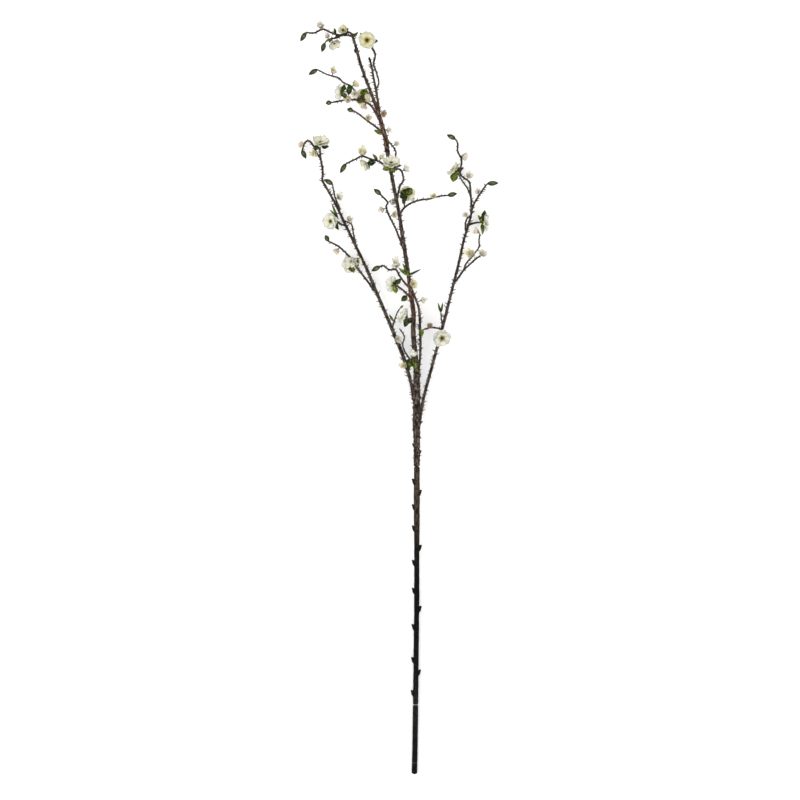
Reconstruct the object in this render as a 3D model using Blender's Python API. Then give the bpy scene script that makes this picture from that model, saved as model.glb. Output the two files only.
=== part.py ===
"""Artificial blossom branch lying down: a long plug-together stem, three thorny branches, cream blossoms.

Frame: +Y runs from the cut end of the stem to the tip, +Z is up, and the branch lies on z = 0.
The origin is the middle of the small flat under the foot of the stem, 40 mm from the cut end.
It rests on that flat and on the lowest petals of two blossoms, one on each side branch.

stem_foot and stem_middle are the two lower lengths. centre_branch, left_branch and right_branch are
the limbs above the crown. spray_* are the longer side twigs with their tip buds and small blossoms.
bloom_* holds the petals and stamens of one blossom, calyx_* the green cup and leaves behind it, and
leaf_* a leaf or a group of leaves on its own. The tables are in millimetres, the objects in metres.
"""

import math
import random

import bmesh
import bpy
import numpy as np
from mathutils import Matrix, Vector

MM = 0.001
GAP = 0.35  # air between neighbouring pieces
STEM_RADIUS = 4.15
STEM_SLOPE = 0.03  # rise of the stem per length
FLAT_DEPTH = 0.35  # how far the resting flat cuts into the foot
FOOT_JOINT_Y = 69.8
TOP_JOINT_Y = 452.0
SPIGOT_RADIUS = 2.3
SPIGOT_LENGTH = 15.0
PETAL_THICK = 0.85
LEAF_THICK = 0.75
CALYX_REACH = 6.5  # from the blossom's centre to the back of its cup, at 30 mm across
SEED = 41

COLOURS = {
    "stem": (0.035, 0.034, 0.03),
    "bark": (0.085, 0.058, 0.05),
    "petal": (0.93, 0.9, 0.76),
    "leaf": (0.06, 0.12, 0.03),
}

# Plans of the limbs: x and y, from root to tip.
CENTRE = [(2.9, 452.8), (2.9, 494), (3.2, 526), (2.7, 558), (2.6, 590), (1.9, 613), (0, 635), (-1.9, 654),
          (-2.9, 674), (-2.2, 694), (-3.8, 710), (-6.4, 725), (-8.3, 742), (-13.1, 776), (-18.6, 811),
          (-24.6, 851), (-32, 890), (-39, 926), (-44.5, 958), (-46.4, 974), (-50.2, 987), (-57, 1013)]
CENTRE_HEIGHTS = (16.9, 22, 30, 37, 44)
CENTRE_RADII = (4.6, 4.9, 5.3, 5.2, 3.9, 3.6, 3.4, 2.5, 2.3, 2.1, 2.1, 2.2, 3.4, 2.6)
LEFT_FORK = [(-57, 1010), (-64, 1032), (-73, 1056), (-81, 1077), (-88, 1098), (-93.8, 1120), (-101.1, 1143.7)]
RIGHT_FORK = [(-56.6, 1010), (-58.9, 1032), (-62.2, 1053), (-66.2, 1073), (-69.8, 1093), (-73.3, 1105.6)]
TWIN = [(3.2, 592), (5.8, 603), (8.6, 638), (8, 674), (6.1, 704), (-1, 725), (-8.3, 745.6)]
LEFT = [(0.3, 549), (-2.2, 562), (-7.4, 590), (-18.6, 627), (-32.3, 661), (-47, 697), (-62.1, 732),
        (-77.1, 768), (-93.4, 802), (-109.4, 835), (-125.1, 868), (-143.4, 901), (-148.2, 910),
        (-147.8, 926), (-151.4, 947), (-151.8, 957)]
LEFT_HEIGHTS = (19.5, 17, 16, 16, 17)
RIGHT = [(5.8, 514), (8.5, 530), (13.4, 560), (23.4, 598), (33.9, 637), (43.7, 673), (53.1, 710),
         (61.8, 745), (70.4, 779), (78.1, 814), (84.2, 834), (89.3, 853), (91.2, 863), (95.4, 874),
         (103, 887), (110.4, 898), (116.2, 905)]
RIGHT_HEIGHTS = (18.5, 17, 16, 15.5, 18)

# Blossoms: centre, the way it faces, diameter, lift of the petals in degrees, turn of the petals, and
# leaves from the cup as tip x, y, z and width.
BLOOMS = {
    "tip": ((-76.6, 1132, 57), (0, 0.05, 1), 30, 12, 10,
            [(-60.5, 1131, 50, 7), (-88, 1145, 50, 6)]),
    "tip_left": ((-131.5, 1125.5, 46), (-0.15, -0.4, 0.8), 22, 20, 30,
                 [(-121.5, 1120.5, 43, 5), (-139, 1133.5, 47.5, 5)]),
    "tip_bud": ((-116, 1151.5, 47), (-0.75, 0.6, 0.2), 17, 56, 0, [(-109, 1154, 49.5, 4)]),
    "upper_far": ((-118.4, 1051, 43), (-0.9, 0.05, -0.35), 27, 18, 12,
                  [(-113, 1062.5, 44, 5), (-110, 1039.5, 49, 6)]),
    "upper_near": ((-84, 1042, 31), (0.15, 0.1, -0.97), 28, 16, 0,
                   [(-91.5, 1032.5, 38.5, 9), (-77, 1056.5, 38, 10)]),
    "mid_left": ((-80.8, 933, 44), (-0.8, -0.3, 0.3), 20, 20, 20, [(-67, 925, 44, 8), (-76, 920, 41, 6)]),
    "mid_top": ((-37.9, 937, 59), (0, 0.75, 0.65), 28, 26, 0,
                [(-22.5, 936, 55, 7), (-52, 931, 53, 8), (-34, 926, 60, 6)]),
    "mid_down": ((-13, 888, 27), (0.3, 0.2, -0.9), 27, 16, 15,
                 [(-23, 893, 37, 9), (-6, 897, 37, 9), (-25, 882, 37.5, 8)]),
    "left_tip": ((-151.2, 971, 24), (0.1, 0.85, 0.45), 29, 30, 0,
                 [(-136.5, 968, 22, 7), (-164, 967.5, 28, 7)]),
    "left_upper": ((-138.5, 852, 24), (-0.7, -0.1, 0.7), 27, 14, 18,
                   [(-124, 844, 29.5, 5), (-127, 833, 25, 6)]),
    "left_floor": ((-102.4, 775, 15), (-0.8, 0.15, -0.45), 30, 12, 0,
                   [(-90, 785, 27, 8), (-98, 762, 30, 8)]),
    "centre_low": ((-35.2, 742.7, 31), (-0.75, 0.2, -0.5), 28, 14, 24,
                   [(-22.5, 753, 43, 7), (-31, 728, 41, 7)]),
    "centre_front": ((-15.5, 691.5, 44), (-0.8, 0.5, 0.2), 29, 20, 6, [(-17, 675, 38, 9)]),
    "right_front": ((42.9, 658.2, 31.5), (0.1, -0.38, 0.92), 30, 16, 20, [(35.5, 640, 27, 6)]),
    "right_upper": ((64.8, 925.6, 20), (-0.65, 0.7, 0.05), 28, 14, 0,
                    [(59.5, 909, 21, 8), (78, 930.5, 22, 7)]),
    "right_floor": ((111.2, 843, 15), (1, 0.03, -0.04), 30, 12, 0,
                    [(109.5, 863, 19, 5.5), (108.5, 823.5, 19, 5.5), (100, 853, 28, 6)]),
    "trunk_bud": ((-4, 631, 41), (0.2, 0.85, -0.2), 19, 52, 0, [(-14, 626, 41, 8), (5.5, 618, 44, 7.5)]),
}
RESTING = ("left_floor", "right_floor")


def unit(vector):
    vector = np.asarray(vector, float)
    return vector / np.linalg.norm(vector)


def along(plan, heights):
    """A plan outline with the heights spread evenly along its length."""
    plan = np.array(plan, float)
    run = np.concatenate([[0], np.cumsum(np.linalg.norm(np.diff(plan, axis=0), axis=1))])
    z = np.interp(run / run[-1], np.linspace(0, 1, len(heights)), heights)
    return np.column_stack([plan, z])


def curve(points, step):
    """Points about one step apart on a smooth curve through the given ones."""
    points = np.array(points, float)
    if len(points) < 3:
        dense = np.linspace(points[0], points[-1], 24)
    else:
        ends = np.vstack([2 * points[0] - points[1], points, 2 * points[-1] - points[-2]])
        t = np.linspace(0, 1, 10, endpoint=False)[:, None]
        spans = []
        for a, b, c, d in zip(ends, ends[1:], ends[2:], ends[3:]):
            spans.append(0.5 * (2 * b + (c - a) * t + (2 * a - 5 * b + 4 * c - d) * t**2
                                + (3 * b - a - 3 * c + d) * t**3))
        dense = np.vstack([*spans, points[-1:]])
    run = np.concatenate([[0], np.cumsum(np.linalg.norm(np.diff(dense, axis=0), axis=1))])
    count = max(3, int(round(run[-1] / step)) + 1)
    at = np.linspace(0, run[-1], count)
    return np.column_stack([np.interp(at, run, dense[:, k]) for k in range(3)])


def outward(points, faces):
    """The shape with its faces turned outward."""
    points = np.asarray(points, float)
    faces = [tuple(face) for face in faces]
    volume = sum(np.dot(points[f[0]], np.cross(points[f[k]], points[f[k + 1]]))
                 for f in faces for k in range(1, len(f) - 1))
    return points, faces if volume > 0 else [face[::-1] for face in faces]


def tube(path, radii, sides, spread=1.0):
    """A round bar along a path, with the radii spread evenly along it and a low point at each end."""
    path = np.array(path, float)
    count = len(path)
    radii = np.interp(np.linspace(0, 1, count), np.linspace(0, 1, len(radii)), radii) + spread - 1
    tangents = np.gradient(path, axis=0)
    across = unit(np.cross(unit(tangents[0]), (0.02, 0.01, 1)))
    points = []
    for centre, tangent, radius in zip(path, tangents, radii):
        tangent = unit(tangent)
        across = unit(across - tangent * np.dot(across, tangent))
        other = np.cross(tangent, across)
        for k in range(sides):
            angle = 2 * math.pi * (k + 0.5) / sides
            points.append(centre + radius * (math.cos(angle) * across + math.sin(angle) * other))
    points.append(path[0] - unit(tangents[0]) * 0.15 * radii[0])
    points.append(path[-1] + unit(tangents[-1]) * 0.15 * radii[-1])
    faces = []
    for row in range(count - 1):
        for k in range(sides):
            a, b = row * sides + k, row * sides + (k + 1) % sides
            faces.append((a, b, b + sides, a + sides))
    last = (count - 1) * sides
    for k in range(sides):
        faces.append((count * sides, (k + 1) % sides, k))
        faces.append((count * sides + 1, last + k, last + (k + 1) % sides))
    return outward(points, faces)


def turned(base, tip, outline, sides, flatten=1.0, wide=(0, 0, 1)):
    """A solid turned round the line from base to tip: the outline holds (share of length, radius)."""
    base, tip = np.array(base, float), np.array(tip, float)
    axis = unit(tip - base)
    first = unit(np.cross(axis, np.asarray(wide, float) + (0.013, 0.007, 0.003)))
    second = np.cross(axis, first) * flatten
    points = [base, tip]
    for share, radius in outline:
        for k in range(sides):
            angle = 2 * math.pi * k / sides
            ring = math.cos(angle) * first + math.sin(angle) * second
            points.append(base + (tip - base) * share + radius * ring)
    faces = []
    for row in range(len(outline) - 1):
        for k in range(sides):
            a, b = 2 + row * sides + k, 2 + row * sides + (k + 1) % sides
            faces.append((a, b, b + sides, a + sides))
    last = 2 + (len(outline) - 1) * sides
    for k in range(sides):
        faces.append((0, 2 + (k + 1) % sides, 2 + k))
        faces.append((1, last + k, last + (k + 1) % sides))
    return outward(points, faces)


def blade(root, tip, normal, width, outline, thick, arch=0.0, fold=0.0, twist=0.0):
    """A thin leaf or petal from root to tip. The outline holds (share, half width): a row is three points
    wide, or one where its half width is 0. Both faces are split alike."""
    root, tip = np.array(root, float), np.array(tip, float)
    length = unit(tip - root)
    face = np.asarray(normal, float)
    face = unit(face - length * np.dot(face, length))
    side = np.cross(face, length)
    points, rows = [], []
    for share, half in outline:
        middle = root + (tip - root) * share + face * arch * 4 * share * (1 - share)
        row = []
        for place in (-1, 0, 1) if half else (0,):
            reach = place * half * width / 2
            back = 0.0 if place == 0 else -0.12 * width * share**3
            row.append(len(points))
            points.append(middle + side * reach + length * back + face * (fold * abs(reach) + twist * reach))
        rows.append(row)
    sheet = []
    for low, high in zip(rows, rows[1:]):
        if len(low) == 1:
            sheet += [(low[0], high[0], high[1]), (low[0], high[1], high[2])]
        elif len(high) == 1:
            sheet += [(low[0], high[0], low[1]), (low[1], high[0], low[2])]
        else:
            for k in (0, 1):
                sheet += [(low[k], high[k + 1], low[k + 1]), (low[k], high[k], high[k + 1])]
    rim = rows[0] + [row[-1] for row in rows[1:-1]] + rows[-1][::-1] + [row[0] for row in rows[-2:0:-1]]
    count = len(points)
    faces = sheet + [tuple(index + count for index in three[::-1]) for three in sheet]
    for a, b in zip(rim, rim[1:] + rim[:1]):
        faces.append((a, b, b + count, a + count))
    shift = face * thick / 2
    return outward([point + shift for point in points] + [point - shift for point in points], faces)


def frame_of(axis, turn=0.0):
    """Two directions square to an axis, turned by degrees round it."""
    axis = unit(axis)
    first = unit(np.cross((0.02, 1, 0.03), axis)) if abs(axis[1]) < 0.95 else unit(np.cross((1, 0, 0.03), axis))
    second = np.cross(axis, first)
    angle = math.radians(turn)
    return (first * math.cos(angle) + second * math.sin(angle),
            second * math.cos(angle) - first * math.sin(angle), axis)


PETAL_OUTLINE = [(0, 0), (0.62, 0.98), (1.0, 0.56)]


def petal_ring(centre, axis, reach, lift, turn, width, start):
    """Five round petals that overlap like a propeller's blades."""
    shapes = []
    for number in range(5):
        first, second, out = frame_of(axis, turn + 72 * number)
        angle = math.radians(lift)
        ray = first * math.cos(angle) + out * math.sin(angle)
        face = out * math.cos(angle) - first * math.sin(angle)
        root = centre + first * start
        shapes.append(blade(root, root + ray * (reach - start) / math.cos(angle), face, width, PETAL_OUTLINE,
                            PETAL_THICK, arch=-0.05 * reach, twist=0.16))
    return shapes


def inner_cup(centre, axis, reach, lift, turn):
    """Five-lobed cup of the inner petals, a thin dish."""
    first, second, out = frame_of(axis, turn)
    slope = math.tan(math.radians(lift))
    points = []
    for side in (1, -1):
        points.append(centre + out * side * PETAL_THICK / 2)
        for k in range(10):
            radius = reach * (1.0 if k % 2 == 0 else 0.78)
            angle = math.pi * k / 5
            height = slope * radius + (0.0 if k % 2 else 0.5)
            points.append(centre + radius * (math.cos(angle) * first + math.sin(angle) * second)
                          + out * (height + side * PETAL_THICK / 2))
    faces = []
    for k in range(10):
        n = (k + 1) % 10
        faces += [(0, 1 + k, 1 + n), (11, 12 + n, 12 + k), (1 + k, 12 + k, 12 + n, 1 + n)]
    return outward(points, faces)


def bloom_shapes(spec):
    """Stamens, inner cup and outer petals of one double blossom."""
    centre, axis, diameter, lift, turn, _ = spec
    centre, axis = np.array(centre, float), unit(axis)
    size = diameter / 30
    reach = diameter / 2 if lift < 40 else diameter * 0.36
    narrow = min(1, reach / 15 / size)
    shapes = [turned(centre - axis * 1.2 * size, centre + axis * 4.6 * size,
                     [(0.2, 3.0 * size), (0.8, 2.6 * size)], 5)]
    shapes += petal_ring(centre, axis, reach, lift, turn, 15.5 * size * narrow, 1.4 * size)
    shapes.append(inner_cup(centre + axis * 1.5 * size, axis, reach * 0.78, lift + 8, turn + 36))
    return shapes


def cup_back(spec, extra=0.0):
    """The point behind a blossom's cup."""
    centre, axis, diameter = spec[0], unit(spec[1]), spec[2]
    return np.array(centre, float) - axis * (CALYX_REACH * diameter / 30 + extra)


LEAF_OUTLINE = [(0, 0), (0.34, 0.95), (0.7, 0.8), (1.0, 0)]


def leaf(root, tip, width, normal=(0, 0, 1), arch=1.0, fold=0.25):
    return blade(root, tip, normal, width, LEAF_OUTLINE, LEAF_THICK, arch, fold)


def calyx_shapes(spec):
    """Green cup and its leaves. The cup stops short of the petals in front of it."""
    centre, axis, diameter, lift, turn, leaves = spec
    centre, axis = np.array(centre, float), unit(axis)
    size = diameter / 30
    front = centre - axis * (1.2 * size + GAP)
    shapes = [turned(cup_back(spec), front, [(0.25, 1.8 * size), (0.85, 2.4 * size)], 5)]
    facing_up = 1 if axis[2] >= -0.1 else -1
    for x, y, z, width in leaves:
        reach = np.array((x, y, z)) - centre
        aside = unit(reach - axis * np.dot(reach, axis))
        root = centre - axis * 3.6 * size + aside * 1.3 * size
        shapes.append(leaf(root, (x, y, z), width * 1.15, axis * 0.6 + np.array((0, 0, 0.8 * facing_up)), -1.0, -0.2))
    return shapes


def thorns(path, radii, rng, spacing, away=(), clear=7.0, others=()):
    """Small spines to both sides of a path, none near the given points or reaching for another limb."""
    radii = np.interp(np.linspace(0, 1, len(path)), np.linspace(0, 1, len(radii)), radii)
    run = np.concatenate([[0], np.cumsum(np.linalg.norm(np.diff(path, axis=0), axis=1))])
    at = spacing * 0.7
    shapes = []
    side = 1
    while at < run[-1] - 3:
        point = np.array([np.interp(at, run, path[:, k]) for k in range(3)])
        ahead = np.array([np.interp(at + 1, run, path[:, k]) for k in range(3)])
        radius = float(np.interp(at, run, radii))
        tangent = unit(ahead - point)
        out = unit(np.cross((0, 0, 1), tangent)) * side
        out = unit(out + tangent * rng.uniform(0.2, 0.8) + np.array((0, 0, rng.uniform(-0.1, 0.5))))
        length = rng.uniform(1.7, 2.9)
        tip = point + out * (radius + length)
        free = all(np.linalg.norm(point - np.array(other)) > clear for other in away)
        if free and all(distance_to(tip, other) > 5.5 for other in others):
            shapes.append(turned(point - out * 0.4, tip, [(0.12, min(1.0, radius * 0.75))], 3))
        side = -side
        at += spacing * rng.uniform(0.75, 1.3)
    return shapes


def tip_bud(base, x, y, rise=0.5):
    """Closed green bud at the end of a twig."""
    base = np.array(base, float)
    tip = np.array((x, y, base[2] + rise))
    wide = 4.15 if np.linalg.norm(tip - base) > 8 else 3.0
    return turned(base - unit(tip - base) * 0.6, tip,
                  [(0.14, wide * 0.6), (0.42, wide), (0.78, wide * 0.62)], 5)


def small_blossom(paths, x, y, size, rng, rise=1.5):
    """Half-open blossom of pointed petals on a short stalk from the nearest of the paths."""
    nodes = np.vstack(paths)
    near = nodes[np.argmin(np.hypot(nodes[:, 0] - x, nodes[:, 1] - y))]
    centre = np.array((x, y, near[2] + rise))
    away = centre - near
    away = unit(away) if np.linalg.norm(away) > 1 else np.array((0, 0, 1.0))
    heart = near + away * max(np.linalg.norm(centre - near) - 1.0, 2.0)
    shapes = [turned(near - away * 0.5, heart + away, [(0.15, 0.75), (0.9, 0.75)], 3)]
    shapes.append(turned(heart - away * 1.6, heart + away * size * 0.32, [(0.4, size * 0.2)], 4))
    first, second, out = frame_of(away, rng.uniform(0, 90))
    for number in range(3):
        angle = math.pi / 1.5 * number
        ray = unit(first * math.cos(angle) + second * math.sin(angle) + out * rng.uniform(0.35, 0.9))
        shapes.append(turned(heart, heart + ray * size * 0.66, [(0.6, size * 0.24)], 3, 0.6, out))
    return shapes


def new_object(name, shape, collection=None):
    points, faces = shape
    mesh = bpy.data.meshes.new(name)
    mesh.from_pydata((points * MM).tolist(), [], faces)
    mesh.validate()
    made = bpy.data.objects.new(name, mesh)
    (collection or bpy.context.scene.collection).objects.link(made)
    return made


def baked(made):
    """The object with its modifiers applied."""
    graph = bpy.context.evaluated_depsgraph_get()
    graph.update()
    mesh = bpy.data.meshes.new_from_object(made.evaluated_get(graph))
    made.modifiers.clear()
    made.data = mesh
    return made


def boolean(made, shapes, operation, solver):
    helper = bpy.data.collections.new(made.name + "_tools")
    bpy.context.scene.collection.children.link(helper)
    for number, shape in enumerate(shapes):
        new_object(f"tool_{number}", shape, helper)
    step = made.modifiers.new(operation.lower(), "BOOLEAN")
    step.operation = operation
    step.operand_type = "COLLECTION"
    step.collection = helper
    step.solver = solver
    baked(made)
    for tool in list(helper.objects):
        bpy.data.objects.remove(tool)
    bpy.data.collections.remove(helper)


def drop_scraps(work):
    """Removes every island of faces but the one with the most corners, such as a thorn tip cut loose."""
    islands, seen = [], set()
    for start in work.verts:
        if start in seen:
            continue
        seen.add(start)
        island, queue = [], [start]
        while queue:
            corner = queue.pop()
            island.append(corner)
            for edge in corner.link_edges:
                other = edge.other_vert(corner)
                if other not in seen:
                    seen.add(other)
                    queue.append(other)
        islands.append(island)
    islands.sort(key=len)
    for island in islands[:-1]:
        bmesh.ops.delete(work, geom=island, context="VERTS")


def tidy(mesh):
    """Joins the splinters that a union leaves in flat faces, then splits all faces into triangles."""
    work = bmesh.new()
    work.from_mesh(mesh)
    bmesh.ops.remove_doubles(work, verts=work.verts, dist=0.00002)
    bmesh.ops.dissolve_limit(work, angle_limit=math.radians(2.0), verts=work.verts, edges=work.edges)
    bmesh.ops.triangulate(work, faces=work.faces)
    drop_scraps(work)
    work.to_mesh(mesh)
    work.free()


def node(name, shapes, colour, cut=(), solver="EXACT"):
    """One named body: the union of its shapes, less the cutters, with its origin at its root."""
    made = new_object(name, shapes[0])
    if len(shapes) > 1:
        boolean(made, shapes[1:], "UNION", solver)
    if cut:
        boolean(made, cut, "DIFFERENCE", solver)
    tidy(made.data)
    material = bpy.data.materials.new(name)
    material.use_nodes = True
    shader = material.node_tree.nodes["Principled BSDF"]
    shader.inputs["Base Color"].default_value = (*COLOURS[colour], 1)
    shader.inputs["Roughness"].default_value = 0.6
    made.data.materials.clear()
    made.data.materials.append(material)
    made.data.shade_smooth()
    made.data.set_sharp_from_angle(angle=math.radians(50))
    root = Vector((shapes[0][0].mean(axis=0) * MM).tolist())
    made.data.transform(Matrix.Translation(-root))
    made.location = root
    made.parent = bpy.data.objects["branch"]
    return made


def stem_height(y):
    """Height of the stem's middle line: level at the foot, then a slow rise."""
    level = STEM_RADIUS - FLAT_DEPTH
    if y < -15:
        return level + 0.03 * (-15 - y)
    return level + STEM_SLOPE * max(0.0, y - 15)


def stem_line(y_from, y_to, step, x_of):
    count = max(3, int(round((y_to - y_from) / step)) + 1)
    return np.array([(x_of(y), y, stem_height(y)) for y in np.linspace(y_from, y_to, count)])


def stem_x(y):
    return float(np.interp(y, (-40, -0.001, 70, 240, 452), (-0.9, 0, 0.9, 2.9, 2.9)))


def slab(low, high):
    """A plain box between two corners."""
    corners = [(x, y, z) for x in (low[0], high[0]) for y in (low[1], high[1]) for z in (low[2], high[2])]
    return outward(corners, [(0, 1, 3, 2), (4, 6, 7, 5), (0, 4, 5, 1), (2, 3, 7, 6), (0, 2, 6, 4), (1, 5, 7, 3)])


def stub(y, side, x_of, radius):
    """Bud-like knot on the stem, pointing up the stem."""
    centre = np.array((x_of(y), y, stem_height(y)))
    out = np.array({"left": (-1, 0, 0.15), "right": (1, 0, 0.15), "front": (0.1, 0, 1)}[side])
    start = centre + out * (radius - 1.6)
    return turned(start - np.array((0, 6.0, 0)), start + out * 4.4 + np.array((0, 2.6, 0)),
                  [(0.45, 1.7), (0.85, 1.9)], 5)


def build_stem(rng):
    foot = stem_line(-40, FOOT_JOINT_Y - 0.15, 14, stem_x)
    radii = [STEM_RADIUS] * (len(foot) - 1) + [STEM_RADIUS - 0.7]
    shapes = [tube(foot, radii, 16)]
    end = np.array((stem_x(FOOT_JOINT_Y), FOOT_JOINT_Y, stem_height(FOOT_JOINT_Y)))
    upward = np.array((0, 1, STEM_SLOPE))
    shapes.append(tube(np.array([end - upward * 6, end, end + upward * SPIGOT_LENGTH]), [SPIGOT_RADIUS] * 3, 10))
    groove = np.array((stem_x(-23), -23, stem_height(-23)))
    shapes_cut = [slab((-20, -80, -9), (20, 90, 0))]
    node("stem_foot", shapes, "stem", shapes_cut + [ring_groove(groove)])

    middle = stem_line(FOOT_JOINT_Y + 0.75, TOP_JOINT_Y - 0.7, 32, stem_x)
    radii = [3.5] + [STEM_RADIUS + rng.uniform(-0.3, 0.3) for _ in range(len(middle) * 2)] + [3.6]
    shapes = [tube(middle, radii, 10)]
    for y in (91, 144, 197, 255, 300, 355, 389, 430):
        shapes.append(stub(y, "left", stem_x, STEM_RADIUS))
    for y in (124, 226, 324, 412):
        shapes.append(stub(y, "right", stem_x, STEM_RADIUS))
    shapes.append(stub(383, "front", stem_x, STEM_RADIUS))
    top = np.array((stem_x(TOP_JOINT_Y), TOP_JOINT_Y, stem_height(TOP_JOINT_Y)))
    shapes.append(tube(np.array([top - upward * 7, top, top + upward * SPIGOT_LENGTH]), [SPIGOT_RADIUS] * 3, 10))
    socket = tube(np.array([end - upward * 3, end, end + upward * (SPIGOT_LENGTH + 1)]),
                  [SPIGOT_RADIUS + 0.45] * 3, 10)
    node("stem_middle", shapes, "stem", [socket])
    return tube(np.array([top - upward * 3, top, top + upward * (SPIGOT_LENGTH + 1)]),
                [SPIGOT_RADIUS + 0.45] * 3, 10)


def ring_groove(centre):
    """A ring that cuts a shallow groove round the foot."""
    sides = 16
    points, faces = [], []
    corners = ((3.75, -0.8), (6.0, -0.8), (6.0, 0.8), (3.75, 0.8))
    for k in range(sides):
        angle = 2 * math.pi * k / sides
        for radius, shift in corners:
            points.append(centre + np.array((radius * math.cos(angle), shift, radius * math.sin(angle))))
    for k in range(sides):
        a, b = 4 * k, 4 * ((k + 1) % sides)
        for c in range(4):
            d = (c + 1) % 4
            faces.append((a + c, a + d, b + d, b + c))
    return outward(points, faces)


def near(path, x, y):
    """The point of a path that is nearest in plan."""
    return path[np.argmin(np.hypot(path[:, 0] - x, path[:, 1] - y))]


def twig(plan, heights, radii=(1.15, 0.95), step=12.5, sides=5, into=None):
    """Path and bar of a twig. It can end at the back of a blossom's cup."""
    points = along(plan, heights)
    if into:
        spec = BLOOMS[into]
        path = np.vstack([curve(np.vstack([points, cup_back(spec, 3.4)]), step), cup_back(spec, GAP + 0.3)])
    else:
        path = curve(points, step)
    return path, tube(path, radii, sides)


def distance_to(point, path):
    """Distance from a point to a path of straight runs."""
    starts, runs = path[:-1], np.diff(path, axis=0)
    share = np.einsum("ij,ij->i", point - starts, runs) / np.einsum("ij,ij->i", runs, runs)
    return float(np.linalg.norm(starts + runs * np.clip(share, 0, 1)[:, None] - point, axis=1).min())


def settle_resting_blooms():
    """Moves the two resting blossoms up or down until their lowest petal touches z = 0."""
    for name in RESTING:
        spec = list(BLOOMS[name])
        lowest = min(points[:, 2].min() for points, _ in bloom_shapes(spec))
        x, y, z = spec[0]
        spec[0] = (x, y, z - lowest)
        BLOOMS[name] = tuple(spec)


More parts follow.
